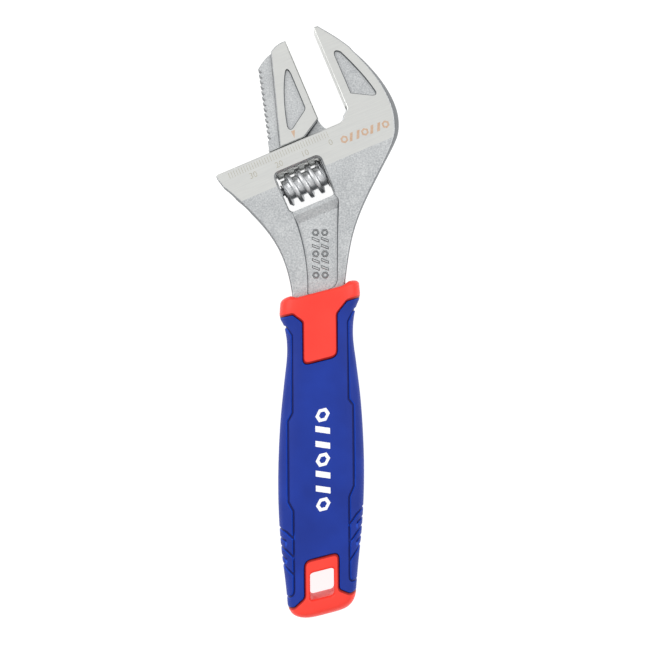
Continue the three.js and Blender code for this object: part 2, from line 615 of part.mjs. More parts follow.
// Seen from the side: full at the belly and the collar, slimmer at the waist and the butt.
function gripSideProfile() {
  const front = new THREE.SplineCurve([
    new THREE.Vector2(BUTT_THICKNESS / 2 - 0.6, -PAST),
    new THREE.Vector2(BUTT_THICKNESS / 2, 8),
    new THREE.Vector2(GRIP_THICKNESS / 2, BELLY_HEIGHT - BELLY_FLAT),
    new THREE.Vector2(GRIP_THICKNESS / 2, BELLY_HEIGHT + BELLY_FLAT),
    new THREE.Vector2(WAIST_THICKNESS / 2, GRIP_LENGTH - WAIST_BELOW_TOP),
    new THREE.Vector2(GRIP_THICKNESS / 2, GRIP_LENGTH - 3),
    new THREE.Vector2(GRIP_THICKNESS / 2, GRIP_LENGTH + PAST),
  ]).getPoints(4 * CURVE_STEPS);
  const back = front.map((point) => new THREE.Vector2(-point.x, point.y)).reverse();
  return new THREE.Shape([...front, ...back]);
}

function gripEnvelope() {
  const width = 4 * COLLAR_HALF_WIDTH;
  const side = new THREE.ExtrudeGeometry(gripSideProfile(), { depth: width, bevelEnabled: false });
  side.translate(0, 0, -width / 2).rotateY(Math.PI / 2);
  const front = slab(gripOutline(), GRIP_THICKNESS, GRIP_ROUNDING, ROUNDING_STEPS);
  const saddle = slab(saddleOutline(), 2 * GRIP_THICKNESS);
  return rakedSolid(front).intersect(rakedSolid(side)).subtract(rakedSolid(saddle));
}

// What of the envelope belongs to the core at the top: the collar, its shoulders and the tab below them.
function collarZone(clearance) {
  const out = 2 * COLLAR_HALF_WIDTH;
  const shoulder = SHOULDER_HALF_WIDTH + clearance;
  const tab = INSERT_HALF_WIDTH + clearance;
  const side = COLLAR_BOTTOM - clearance;
  const drop = side - SHOULDER_DROP;
  const end = COLLAR_BOTTOM - INSERT_LENGTH - clearance;
  const zone = new THREE.Shape();
  zone.moveTo(out, side);
  zone.lineTo(out, GRIP_LENGTH + PAST);
  zone.lineTo(-out, GRIP_LENGTH + PAST);
  zone.lineTo(-out, side);
  zone.lineTo(-shoulder, side);
  zone.lineTo(-tab, drop);
  zone.lineTo(-tab, end + INSERT_CORNER);
  zone.quadraticCurveTo(-tab, end, -tab + INSERT_CORNER, end);
  zone.lineTo(tab - INSERT_CORNER, end);
  zone.quadraticCurveTo(tab, end, tab, end + INSERT_CORNER);
  zone.lineTo(tab, drop);
  zone.lineTo(shoulder, side);
  return zone;
}

// What belongs to the core at the butt: the end cap and the frame round the hang hole.
function capZone(clearance) {
  const out = 2 * COLLAR_HALF_WIDTH;
  const frame = FRAME_HALF_WIDTH + clearance;
  const shoulder = SHOULDER_HALF_WIDTH + clearance;
  const side = CAP_HEIGHT + clearance;
  const top = FRAME_TOP + clearance;
  const zone = new THREE.Shape();
  zone.moveTo(-out, -PAST);
  zone.lineTo(out, -PAST);
  zone.lineTo(out, side);
  zone.lineTo(shoulder, side);
  zone.lineTo(frame, side + SHOULDER_DROP);
  zone.lineTo(frame, top - INSERT_CORNER);
  zone.quadraticCurveTo(frame, top, frame - INSERT_CORNER, top);
  zone.lineTo(INSERT_CORNER - frame, top);
  zone.quadraticCurveTo(-frame, top, -frame, top - INSERT_CORNER);
  zone.lineTo(-frame, side + SHOULDER_DROP);
  zone.lineTo(-shoulder, side);
  zone.lineTo(-out, side);
  return zone;
}

// The bar of core that runs through the sleeve round the tang.
function coreBar(clearance) {
  const half = CORE_BAR_HALF_WIDTH + clearance;
  return block(-half, CAP_HEIGHT / 2, half, GRIP_LENGTH - COLLAR_HEIGHT / 2, CORE_BAR_THICKNESS + 2 * clearance);
}

// The pocket for the neck and the tang, open at the collar's rim.
function tangPocket() {
  const tangHalf = TANG_HALF_WIDTH + MOULD_GAP;
  const tang = block(-tangHalf, TANG_END - MOULD_GAP, tangHalf, NECK_END, TANG_THICKNESS + 2 * MOULD_GAP);
  const neck = polygon([
    raked(-NECK_LEFT - MOULD_GAP, GRIP_LENGTH + PAST),
    raked(-NECK_LEFT - MOULD_GAP, NECK_END - MOULD_GAP),
    raked(-tangHalf, TANG_START - MOULD_GAP),
    raked(tangHalf, TANG_START - MOULD_GAP),
    raked(NECK_RIGHT + MOULD_GAP, NECK_END - MOULD_GAP),
    raked(NECK_RIGHT + MOULD_GAP, GRIP_LENGTH + PAST),
  ]);
  return solidOf(tang).add(solidOf(slab(neck, NECK_THICKNESS + 2 * MOULD_GAP)));
}

function hangHole() {
  const outline = roundedRectangle(-HOLE_HALF_WIDTH, HOLE_BOTTOM, HOLE_HALF_WIDTH, HOLE_TOP, HOLE_CORNER);
  return slab(outline, GRIP_THICKNESS + PAST);
}

function gripCore(envelope) {
  const collar = rakedSolid(slab(collarZone(0), 2 * GRIP_THICKNESS));
  const cap = rakedSolid(slab(capZone(0), 2 * GRIP_THICKNESS));
  const core = envelope.intersect(collar.add(cap).add(rakedSolid(coreBar(0))));
  return meshOf("grip_core", core.subtract(tangPocket()).subtract(rakedSolid(hangHole())), HARD_RED);
}

function gripSleeve(envelope) {
  const collar = rakedSolid(slab(collarZone(MOULD_GAP), 2 * GRIP_THICKNESS));
  const cap = rakedSolid(slab(capZone(MOULD_GAP), 2 * GRIP_THICKNESS));
  const sleeve = envelope.subtract(collar).subtract(cap).subtract(rakedSolid(coreBar(MOULD_GAP)));
  return meshOf("grip_sleeve", sleeve, SOFT_BLUE);
}

// ---- Assembly ----

// The head's own pieces sit in a group that holds the head's frame.
const headPieces = new THREE.Group();
headPieces.applyMatrix4(HEAD_FRAME);
headPieces.add(movableJaw(), worm(), wormPin(), wormSpring());

const envelope = gripEnvelope();
const wrench = new THREE.Group();
wrench.add(wrenchBody(), headPieces, gripCore(envelope), gripSleeve(envelope));

// The origin is the middle of the box's underside, so the wrench lies on the plane z = 0.
const box = new THREE.Box3().setFromObject(wrench);
const centre = box.getCenter(new THREE.Vector3());
wrench.position.set(-centre.x, -centre.y, -box.min.z);

export default wrench;
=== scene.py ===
"""An adjustable wrench with a wide head, a worm-driven jaw and a two-material grip, on a pale floor."""

import json
import math

import bmesh
import bpy
from mathutils import Matrix, Vector
from mathutils.geometry import interpolate_bezier
from mathutils.kdtree import KDTree


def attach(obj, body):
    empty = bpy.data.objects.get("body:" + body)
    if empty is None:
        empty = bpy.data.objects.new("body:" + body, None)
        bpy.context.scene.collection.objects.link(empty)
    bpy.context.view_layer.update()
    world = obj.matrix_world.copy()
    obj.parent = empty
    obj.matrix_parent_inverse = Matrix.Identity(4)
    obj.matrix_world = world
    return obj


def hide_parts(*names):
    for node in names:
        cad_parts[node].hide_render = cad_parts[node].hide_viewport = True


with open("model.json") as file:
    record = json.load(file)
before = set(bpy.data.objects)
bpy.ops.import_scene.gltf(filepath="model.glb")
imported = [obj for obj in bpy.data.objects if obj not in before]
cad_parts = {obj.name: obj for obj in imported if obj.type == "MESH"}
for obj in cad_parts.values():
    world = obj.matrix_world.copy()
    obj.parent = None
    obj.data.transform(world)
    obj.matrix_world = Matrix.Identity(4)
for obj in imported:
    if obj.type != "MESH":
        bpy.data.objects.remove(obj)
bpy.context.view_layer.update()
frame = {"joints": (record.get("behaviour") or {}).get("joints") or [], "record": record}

# ---- Sizes, in millimetres ----

MM = 0.001

SAME = 0.002  # corners of the grip's pattern nearer than this are one
NEARLY_FLAT = 0.98  # faces with more of their normal upright than this are flat

# Head
FACE_POINT_HEIGHT = 18.0  # the record's point on the fixed jaw's face lies this far above the guide edge
HEAD_HALF = 6.0
HEAD_ANGLE = math.radians(22.5)
JAW_HEIGHT = 35.2
GUIDE_LENGTH = 52.8
REST_OPENING = 11.0
FULL_OPENING = 38
GRIND_LINE = -12.25  # below it the forging falls away from the ground face
FALL_AWAY = math.radians(1.7)
EDGE_BREAK = 0.35
TIP_DRAFT = 0.15  # the side leans in by this much at the head's tips
DRAFT_GROWTH = 0.12  # and by so much more for each millimetre from them
SIDE_DRAFT = 0.45  # but no more than this, apart from what the back of the fixed jaw adds
BACK_DRAFT = 1.35
BACK_DRAFT_ABOVE = 22.0  # that addition fades over these heights above and below the jaw corner
BACK_DRAFT_BELOW = 9.0
FLANK_SLOPE = 0.6  # faces steeper than this get the darker flank steel, painted shade
MACHINED_WITHIN = 0.3  # faces this near to a gripping face or the guide edge are machined
GUIDE_DEPTH = 5.4
GUIDE_RADIUS = 4.8
GUIDE_END = 10.6
SLOT_HALF = 2.8
SLOT_RIGHT = 3.3
SLOT_TOP = 5.2
WINDOW = {"left": -33.2, "right": -15.9, "bottom": -22.75, "top": -7.9, "corner": 1.6}
WINDOW_CHAMFER = 0.7
# The neck's panel: a shelf under the window, a ramp, and a floor at a height above mid-depth
PANEL_SHELF = 0.75
PANEL_FLOOR = 4.1
PANEL_DRAFT = 0.6
RAMP_TOP = -24.3
RAMP_BOTTOM = -27.4
POCKET_DEPTH = 1.1

# Movable jaw
JAW_HALF = 5.9
TOOTHED_HALF = 4.3
TONGUE_HALF = 2.5
JAW_LIFT = 0.3
SLIDE_RADIUS = 4.5
SLIDE_BACK = 22.0
SLIDE_AHEAD = 10.0
PIPE_TOOTH_PITCH = 2.0
PIPE_TOOTH_DEPTH = 1.1
HEEL = -7.2  # where the slanted underside of the jaw meets the guide
STEP_GROOVE = 0.45

# Worm, pin and spring
WORM_PITCH = 4.0
WORM_RADIUS = 6.05
WORM_ROOT = 3.85
WORM_LEFT = -32.15
WORM_LENGTH = 15.9
WORM_HEIGHT = -14.4
CREST_WIDTH = 1.2
ROOT_WIDTH = 2.3
CREST_PHASE = 29.4
RACK_TIP = -10.4
FLANK_CLEARANCE = 0.28
RACK_ROOT = WORM_HEIGHT + WORM_RADIUS + 0.45
PIN_RADIUS = 1.5
PIN_HEAD_RADIUS = 2.4
PIN_LEFT = -46.1
PIN_RIGHT = -9.2
PIN_HEAD_LENGTH = 1.6
PIN_CLEARANCE = 0.3
SPRING_WIRE = 0.25
SPRING_SEAT = 3.05

# Marks
SCALE_ZERO = -10.2
TICK_WIDTH = 0.2
TICK_TOP = -0.9
TICK_BOTTOM = -3.1
NUMBER_SIZE = 3.0
NUMBER_FOOT = -6.1
POINTER = ((-21.7, 4), (-21.5, 1.3), (-20.2, 4))
INK = 0.02
ROW_SHAPES = 7
HEAD_PRINT_SIZE = (18.3, 2.9)
HEAD_PRINT_START = (-6.6, -6.0)
HEAD_PRINT_TURN = -0.05
SLEEVE_PRINT_SIZE = (37.0, 5.2)
SLEEVE_PRINT_START = (0.7, 75.5)
RELIEF = 0.3
RELIEF_CHAMFER = 0.24
# relief faces steeper than this get the darker flank steel, painted shade on their chamfers
RELIEF_SLOPE = 0.9
RELIEF_SIZE = (17.8, 2.7)
RELIEF_TOP = 139.4
RELIEF_ROWS = {"left": -1.3, "right": 2.0}

# The surfaces' spots and grains
MOULD_GRAIN = 0.5
MOULD_GRAIN_DEPTH = 0.01
MOULD_CLOUD = 14.0
STEEL_CLOUD = 9.0
BRUSH_LINE = (25, 1, 1)  # each spot of the grain drawn out into a line
INK_SPECKLE = 0.4
FLOOR_CLOUD = 40.0
FELT_NAP = 2.0

# Neck and grip, on the handle's axis with the butt at y = 0
GRIP_MIDDLE = 51.0  # the record's point under the grip lies at this height of the handle
GRIP_LENGTH = 119.0
NECK_LEFT = 9.8
NECK_RIGHT = 9.3
NECK_END = 112.6
TANG_START = 107.6
TANG_HALF_WIDTH = 5.8
TANG_HALF = 2.5
TANG_END = 26.6
RAKE = math.tan(math.radians(14))
GRIP_HALF = 9.5
GRIP_SIDE = (  # height, half width
    (7, 12.3), (16, 13.15), (28, 14.5), (40, 15.3), (52, 15.5), (64, 15.15), (76, 14.35), (88, 13.0),
    (97, 11.95), (103, 12.05), (108, 13.0), (111.3, 14.4), (115, 14.5),
)
GRIP_DEPTH = ((0, 8.2), (12, 8.5), (39, 9.36), (63, 9.36), (99.5, 8.45), (116, 9.36), (119, 9.36))
ROUNDNESS = 3.6  # how square the grip's section is
BUTT_RISE = 0.8
BUTT_ROUNDING = 4.0
BUTT_RIGHT = {"flat": 5.7, "corner": 8.0}
BUTT_LEFT = {"flat": 0.0, "corner": 9.5}
RIM_ROUNDING = 1.6
RIM_DIP = 1.1
COLLAR_TOP = 118.0
COLLAR_HALF_WIDTH = 14.5
COLLAR_CORNER = 3.2
COLLAR_BOTTOM = 111.2
TAB_HALF_WIDTH = 6.3
TAB_BOTTOM = 92.1
TAB_CORNER = 2.5
CAP_HEIGHT = 7.1
FRAME_TOP = 22.6
HOLE_HALF_WIDTH = 4.3
HOLE_BOTTOM = 7.9
HOLE_TOP = 17.6
HOLE_CORNER = 0.9
HOLE_EASE = (0.5, 1.1, 1.2)  # across, along and into the hole
PARTING_LINE = 0.15
SEAM_FADE = 0.85  # how much shallower the seams and the grooves are at the sides
GROOVE_FADE = 0.2
GROOVE_PAINTED_SHADE = 0.72  # how much painted shade a groove gets, beside a seam's full painted shade
SEAM_WIDTH = 0.9
SEAM_DEPTH = 0.75
GROOVE_WIDTH = 0.6
GROOVE_DEPTH = 0.7
PANEL_TOP = 107.5
PANEL_LOW = 10.0  # half distance between the two side grooves near the butt
CHEVRONS = (31.45, 24.8, 18.4)
NOTCHES = (28.3, 21.7)
GRIP_ROW = 2.0
LIP = 0.06
PATTERN_HALF = 15.0  # half width of the grip's face laid flat
ON_PATH = 0.06  # an edge of the pattern nearer to a path than this lies on it

# Floor and light, in metres and watts
FLOOR_HALF = 3.0
FLOOR_DARK, FLOOR_LIGHT = "#858585", "#8A8A8A"
FLOOR_GLOW = 0.9
FLAG_RADIUS = 1.4
FLAG_HEIGHT = 0.55
WORLD_LIGHT = 0.78
SOFTBOXES = (  # name, place, size, power
    ("overhead", (0, 0.15, 1.6), (1.5, 1.5), 1.6),
    ("left_side", (-0.95, 0.35, 0.8), (0.7, 0.9), 5.5),
    ("right_side", (0.95, 0.2, 0.8), (0.7, 0.9), 4.0),
)

# Camera: the place that it looks at, its height over the marked face, and half its view's width there
VIEW_MIDDLE = (0.93, 105.88)
CAMERA_HEIGHT = 582.0
VIEW_HALF = 115.18
CAMERA_ROLL = math.radians(-0.45)


# ---- The two drawing frames: the handle's, and the head's, with u along the guide edge and v up its jaw ----

mounts = {mount["name"]: mount for mount in frame["record"]["mounts"]}
joints = {joint["name"]: joint for joint in frame["joints"]}
ALONG_GUIDE = Vector(joints["worm_spin"]["axis"]).normalized()
UP_FACE = Vector((0, 0, 1)).cross(ALONG_GUIDE)
jaw_corner = Vector(mounts["fixed_jaw_face"]["pos_m"]) - UP_FACE * FACE_POINT_HEIGHT * MM
butt_middle = Vector(mounts["grip_underside"]["pos_m"]) + Vector((0, -GRIP_MIDDLE, GRIP_HALF)) * MM

HANDLE = Matrix.Translation(butt_middle) @ Matrix.Scale(MM, 4)
HEAD = Matrix.Translation(jaw_corner) @ Matrix.Rotation(HEAD_ANGLE, 4, "Z") @ Matrix.Scale(MM, 4)
CORNER = (HANDLE.inverted() @ jaw_corner).xy
# Stands a drawing up, seen from the side
ON_EDGE = Matrix(((0, 0, 1, 0), (1, 0, 0, 0), (0, 1, 0, 0), (0, 0, 0, 1)))


def at_head(u, v):
    """A point of the head's frame, in the handle's frame."""
    return tuple(CORNER + Matrix.Rotation(HEAD_ANGLE, 2) @ Vector((u, v)))


def from_corner(x, y):
    """A point measured from the jaw corner along the handle's own directions."""
    return CORNER.x + x, CORNER.y + y


def raked(x, y):
    return x, y + x * RAKE


# ---- Outlines ----


def curve(start, pull_a, pull_b, end, steps=14):
    """Points of a curve with two pulls, without its start."""
    knots = [Vector((*point, 0)) for point in (start, pull_a, pull_b, end)]
    return [(point.x, point.y) for point in interpolate_bezier(*knots, steps + 1)[1:]]


def bend(start, pull, end, steps=6):
    """Points of a curve with one pull, without its start."""
    towards = [tuple(Vector(p).lerp(Vector(pull), 2 / 3)) for p in (start, end)]
    return curve(start, *towards, end, steps)


def arc(centre, radius, first, last, steps=6):
    """Points on an arc, from one angle in degrees to another."""
    angles = [math.radians(first + (last - first) * i / steps) for i in range(steps + 1)]
    return [(centre[0] + radius * math.cos(a), centre[1] + radius * math.sin(a)) for a in angles]


def rectangle(left, bottom, right, top):
    return [(left, bottom), (right, bottom), (right, top), (left, top)]


def rounded_rectangle(left, bottom, right, top, corner, steps=6):
    centres = (
        (right - corner, top - corner),
        (left + corner, top - corner),
        (left + corner, bottom + corner),
        (right - corner, bottom + corner),
    )
    corners = [arc(centre, corner, 90 * i, 90 * i + 90, steps) for i, centre in enumerate(centres)]
    return [point for points in corners for point in points]


def inward(points, amount):
    """The outline moved inwards by an amount, or by amount(point) where it differs from place to place."""
    moved = []
    count = len(points)
    area = sum(points[i - 1][0] * points[i][1] - points[i][0] * points[i - 1][1] for i in range(count))
    side = 1 if area > 0 else -1
    for i, point in enumerate(points):
        before = (Vector(point) - Vector(points[i - 1])).normalized()
        after = (Vector(points[(i + 1) % count]) - Vector(point)).normalized()
        along = (before + after).normalized()
        sharpness = max(0.4, along.dot(after))
        depth = amount(point) if callable(amount) else amount
        moved.append(tuple(Vector(point) + Vector((-along.y, along.x)) * side * depth / sharpness))
    return moved


# ---- Solids ----


def stack(rings):
    """A solid through rings of (points, z) at rising heights, each with as many points as the next."""
    solid = bmesh.new()
    loops = []
    for points, z in rings:
        corners = [solid.verts.new((x, y, z)) for x, y in points]
        loops.append([solid.edges.new((corners[i - 1], corners[i])) for i in range(len(corners))])
    for lower, upper in zip(loops, loops[1:]):
        bmesh.ops.bridge_loops(solid, edges=lower + upper)
    bmesh.ops.contextual_create(solid, geom=loops[0])
    bmesh.ops.contextual_create(solid, geom=loops[-1])
    bmesh.ops.recalc_face_normals(solid, faces=solid.faces)
    return solid


def plate(points, half):
    return stack([(points, -half), (points, half)])


def edged_plate(points, half, edge):
    """A plate whose rims are broken by a small chamfer."""
    small = inward(points, edge)
    return stack([(small, -half), (points, edge - half), (points, half - edge), (small, half)])


def turned(profile, steps=48):
    """A closed solid turned about the x axis: the profile is (x, radius) from end to end."""
    solid = bmesh.new()
    corners = [solid.verts.new((x, radius, 0)) for x, radius in profile]
    edges = [solid.edges.new(pair) for pair in zip(corners, corners[1:])]
    bmesh.ops.spin(
        solid, geom=corners + edges, cent=(0, 0, 0), axis=(1, 0, 0), angle=math.tau, steps=steps,
        use_merge=True,
    )
    bmesh.ops.remove_doubles(solid, verts=solid.verts, dist=0.0005)
    bmesh.ops.recalc_face_normals(solid, faces=solid.faces)
    return solid


def rod(left, right, radius, height, chamfer=0.0, steps=48):
    """A round rod along u, at a height v."""
    side = [(left, radius), (right, radius)]
    if chamfer:
        side = [(left, radius - chamfer), (left + chamfer, radius)]
        side += [(right - chamfer, radius), (right, radius - chamfer)]
    solid = turned([(left, 0), *side, (right, 0)], steps)
    bmesh.ops.translate(solid, verts=solid.verts, vec=(0, height, 0))
    return solid


def placed(solid, matrix):
    bmesh.ops.transform(solid, matrix=matrix, verts=solid.verts)
    return solid


def everything(solid):
    return solid.verts[:] + solid.edges[:] + solid.faces[:]


def of_type(kind, items):
    return [item for item in items if isinstance(item, kind)]


def bevelled(solid, edges, width, segments):
    bmesh.ops.bevel(
        solid, geom=edges, offset=width, offset_type="OFFSET", affect="EDGES", segments=segments, profile=0.5,
        material=-1,
    )


def as_object(solid, name="draft"):
    mesh = bpy.data.meshes.new(name)
    solid.to_mesh(mesh)
    solid.free()
    piece = bpy.data.objects.new(name, mesh)
    bpy.context.scene.collection.objects.link(piece)
    return piece


def combine(solid, tool, operation):
    """Joins a solid with another, cuts it, or keeps what they share."""
    base, other = as_object(solid), as_object(tool)
    work = base.modifiers.new("work", "BOOLEAN")
    work.operation = operation
    work.solver = "EXACT"
    work.object = other
    result = bmesh.new()
    result.from_object(base, bpy.context.evaluated_depsgraph_get())
    for used in (base, other):
        mesh = used.data
        bpy.data.objects.remove(used)
        bpy.data.meshes.remove(mesh)
    return result


def cut(solid, *tools):
    for tool in tools:
        solid = combine(solid, tool, "DIFFERENCE")
    return solid


def join(solid, *others):
    for other in others:
        solid = combine(solid, other, "UNION")
    return solid


def sharpen(solid, degrees):
    """Smooth faces, with the edges above an angle kept sharp."""
    for face in solid.faces:
        face.smooth = True
    for edge in solid.edges:
        edge.smooth = edge.is_manifold and edge.calc_face_angle(math.pi) < math.radians(degrees)


def finish_piece(name, solid, matrix, materials, body, nodes=(), finish_of=None, sharp=28):
    """Puts a drawn solid in its place as a finished piece, with a finish for each face."""
    bmesh.ops.remove_doubles(solid, verts=solid.verts, dist=0.0008)
    bmesh.ops.dissolve_degenerate(solid, edges=solid.edges, dist=0.0008)
    solid.normal_update()
    for face in solid.faces:
        face.material_index = finish_of(face) if finish_of else 0
    sharpen(solid, sharp)
    placed(solid, matrix)
    piece = as_object(solid, name)
    for material in materials:
        piece.data.materials.append(material)
    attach(piece, body)
    if nodes:
        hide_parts(*nodes)
    return piece


# ---- Materials ----


def linear(hex_colour):
    """An sRGB hex colour as linear values."""
    parts = [int(hex_colour[i : i + 2], 16) / 255 for i in (1, 3, 5)]
    return (*[p / 12.92 if p <= 0.04045 else ((p + 0.055) / 1.055) ** 2.4 for p in parts], 1)


def feed(tree, node, **values):
    """Sets or links a node's inputs, which are given by name, or as i0, i1 and so on."""
    for name, value in values.items():
        by_number = name[0] == "i" and name[1:].isdigit()
        socket = node.inputs[int(name[1:]) if by_number else name.replace("_", " ")]
        if isinstance(value, bpy.types.NodeSocket):
            tree.links.new(value, socket)
        else:
            socket.default_value = value
    return node


def add(tree, kind, settings=None, **values):
    """A shader node with its properties set and its inputs fed."""
    node = tree.nodes.new(kind)
    for name, value in (settings or {}).items():
        setattr(node, name, value)
    return feed(tree, node, **values)


def new_material(name):
    """An empty material: its tree, its shader, and the object's coordinates in millimetres."""
    material = bpy.data.materials.new(name)
    material.use_nodes = True
    tree = material.node_tree
    shader = tree.nodes["Principled BSDF"]
    where = add(tree, "ShaderNodeTexCoord").outputs["Object"]
    scaled = add(tree, "ShaderNodeVectorMath", {"operation": "SCALE"}, i0=where, Scale=1 / MM)
    return material, tree, shader, scaled.outputs["Vector"]


def ramp(tree, factor, stops):
    """A colour ramp through (position, hex colour) stops."""
    node = add(tree, "ShaderNodeValToRGB", Fac=factor)
    elements = node.color_ramp.elements
    while len(elements) < len(stops):
        elements.new(0.5)
    for element, (position, colour) in zip(elements, stops):
        element.position = position
        element.color = linear(colour)
    return node.outputs["Color"]


def spread(tree, value, low, high):
    """A 0 to 1 value spread between two others."""
    return add(tree, "ShaderNodeMapRange", Value=value, To_Min=low, To_Max=high).outputs["Result"]


def noise(tree, where, size, detail=2.0):
    """Noise whose largest spots have a size in millimetres."""
    return add(tree, "ShaderNodeTexNoise", Vector=where, Scale=1 / size, Detail=detail).outputs["Fac"]


def steel(name, light, dark, roughness, grain_mm, grain_depth, brushed=None):
    """Plated alloy steel with a fine grain, drawn out into lines where an angle is given for brushed."""
    material, tree, shader, where = new_material(name)
    where_grain = where
    if brushed is not None:
        settings = {"vector_type": "TEXTURE"}
        across = (0, 0, brushed)
        turn = add(tree, "ShaderNodeMapping", settings, Vector=where, Rotation=across, Scale=BRUSH_LINE)
        where_grain = turn.outputs["Vector"]
    grain = noise(tree, where_grain, grain_mm, 3.0)
    cloud = noise(tree, where, STEEL_CLOUD)
    mixed = add(tree, "ShaderNodeMath", {"operation": "MULTIPLY_ADD"}, i0=cloud, i1=0.35, i2=grain).outputs[0]
    colour = ramp(tree, mixed, [(0.38, dark), (0.95, light)])
    matt = spread(tree, mixed, roughness - 0.06, roughness + 0.08)
    bump = add(tree, "ShaderNodeBump", Height=grain, Distance=grain_depth * MM, Strength=1.0)
    feed(tree, shader, Base_Color=colour, Metallic=1.0, Roughness=matt, Normal=bump.outputs["Normal"])
    return material


def moulded(name, light, dark, painted_line_stops, roughness, sheen):
    """Moulded plastic or rubber: its mould's grain, and painted shade down its seams and grooves, with a
    painted highlight beside them where the stops are lighter than the body.
    """
    material, tree, shader, where = new_material(name)
    grain = noise(tree, where, MOULD_GRAIN)
    cloud = noise(tree, where, MOULD_CLOUD)
    colour = ramp(tree, cloud, [(0.3, dark), (0.7, light)])
    # painted shading: the attribute says how far each corner lies into a seam or groove, and the stops paint
    # shade there, and a painted highlight where they are lighter than the body colour
    depth = add(tree, "ShaderNodeAttribute", {"attribute_name": "painted_line_shading"}).outputs["Fac"]
    inside = ramp(tree, depth, [(0.0, "#000000"), (0.08, "#FFFFFF")])
    line = ramp(tree, depth, painted_line_stops)
    shaded = add(tree, "ShaderNodeMix", {"data_type": "RGBA"}, i0=inside, i6=colour, i7=line).outputs[2]
    matt = spread(tree, grain, roughness - 0.07, roughness + 0.07)
    bump = add(tree, "ShaderNodeBump", Height=grain, Distance=MOULD_GRAIN_DEPTH * MM, Strength=1.0)
    feed(tree, shader, Base_Color=shaded, Roughness=matt, Normal=bump.outputs["Normal"])
    feed(tree, shader, IOR=1.5, Specular_IOR_Level=sheen)
    return material


def printed(name, colour, worn):
    """A thin layer of ink or paint, unevenly worn."""
    material, tree, shader, where = new_material(name)
    speckle = noise(tree, where, INK_SPECKLE)
    shade = ramp(tree, speckle, [(0.35, worn), (0.6, colour)])
    feed(tree, shader, Base_Color=shade, Roughness=spread(tree, speckle, 0.4, 0.6))
    return material


# Satin chrome over a face ground flat: light and even, with fine lines along the guide edge
ground_steel = steel("satin_chrome_on_ground_steel", "#D6D7D4", "#CDCECC", 0.38, 0.35, 0.002, HEAD_ANGLE)
# Satin chrome over a bead-blasted forging: greyer, with a sparkle of small pits
blasted_steel = steel("satin_chrome_on_blasted_forging", "#DADCDC", "#A2A5A8", 0.46, 0.55, 0.045)
# The forging's flanks and pocket walls get a darker copy of the satin chrome, as painted shade on the steep
# faces
painted_shade_flank_steel = steel("satin_chrome_painted_darker_for_flank_shade", "#85888B", "#6A6D70", 0.5, 0.45, 0.03)
# The turned worm is smoother, so it mirrors more of the dark inside the window
worm_steel = steel("satin_plated_turned_steel", "#E6E7E8", "#C4C6C8", 0.38, 0.5, 0.004)
# The pin is turned bright and not plated, and the spring is drawn wire with a darker skin
pin_steel = steel("bright_turned_steel", "#C2C4C6", "#94969A", 0.3, 0.4, 0.004)
spring_steel = steel("drawn_spring_wire", "#A0A2A5", "#6F7174", 0.34, 0.4, 0.004)
# The core's hard plastic, with painted shade in darker reds down its seams
red_painted_shade_stops = [(0.06, "#C4281C"), (0.4, "#B82016"), (0.72, "#98140C"), (0.88, "#3A0A08")]
red_plastic = moulded("moulded_red_polypropylene", "#FA4234", "#F43A2D", red_painted_shade_stops, 0.42, 0.35)
# The sleeve's soft rubber, which is duller, with a painted highlight of lighter blue beside its grooves and
# painted shade of dark blue down them
blue_painted_light_and_shade_stops = [(0.1, "#1A49BE"), (0.4, "#1A49BE"), (0.7, "#0C1C66"), (1.0, "#060C30")]
blue_rubber = moulded("moulded_blue_rubber", "#18379B", "#152F8A", blue_painted_light_and_shade_stops, 0.55, 0.22)
# Laser-marked lines on the ground steel, and a thin copper-coloured print beside them
laser_mark = printed("laser_marked_steel", "#A9A699", "#BDBBB0")
copper_ink = printed("copper_coloured_ink", "#C09C80", "#C8AE98")
# Thick white ink, pad-printed on the rubber
white_ink = printed("white_pad_print", "#FFFFFF", "#ECEDF2")


# ---- Forged body ----


def body_outline():
    """The forging seen from above, at its parting line, in the handle's frame."""
    points = [at_head(0.8 - GUIDE_LENGTH, 0), at_head(-30, 0), at_head(-5.2, 0)]
    points += bend(points[-1], at_head(-3, 0), at_head(-2.3, 1.9))
    points += bend(points[-1], at_head(-1.2, 2.6), at_head(0, 3.8))
    points += [at_head(0, 18), at_head(0, JAW_HEIGHT - 0.9)]
    points += bend(points[-1], at_head(0, JAW_HEIGHT), at_head(0.9, JAW_HEIGHT), 3)
    points += [at_head(1.8, JAW_HEIGHT - 0.1)]
    points += curve(points[-1], at_head(11, JAW_HEIGHT - 9.7), at_head(20.4, 4), from_corner(17.2, -1.6), 30)
    points += curve(points[-1], from_corner(17.2, -7), from_corner(16, -7.7), from_corner(8.2, -22.8), 16)
    neck_top = (NECK_RIGHT, GRIP_LENGTH + 2)
    points += curve(points[-1], from_corner(0.1, -38.3), from_corner(-0.5, -43.6), neck_top, 20)
    points += [raked(NECK_RIGHT, NECK_END), raked(TANG_HALF_WIDTH, TANG_START)]
    points += [(TANG_HALF_WIDTH, TANG_END), (-TANG_HALF_WIDTH, TANG_END)]
    points += [raked(-TANG_HALF_WIDTH, TANG_START), raked(-NECK_LEFT, NECK_END)]
    points += [(-NECK_LEFT, GRIP_LENGTH - 4)]
    tip_underside = at_head(0.8 - GUIDE_LENGTH, -4.9)
    points += curve(points[-1], from_corner(-24, -45.9), from_corner(-29.7, -38.9), tip_underside, 34)
    points += [at_head(-GUIDE_LENGTH, -1.4)]
    points += bend(points[-1], at_head(-GUIDE_LENGTH - 0.1, 0), points[0], 4)[:-1]
    return points


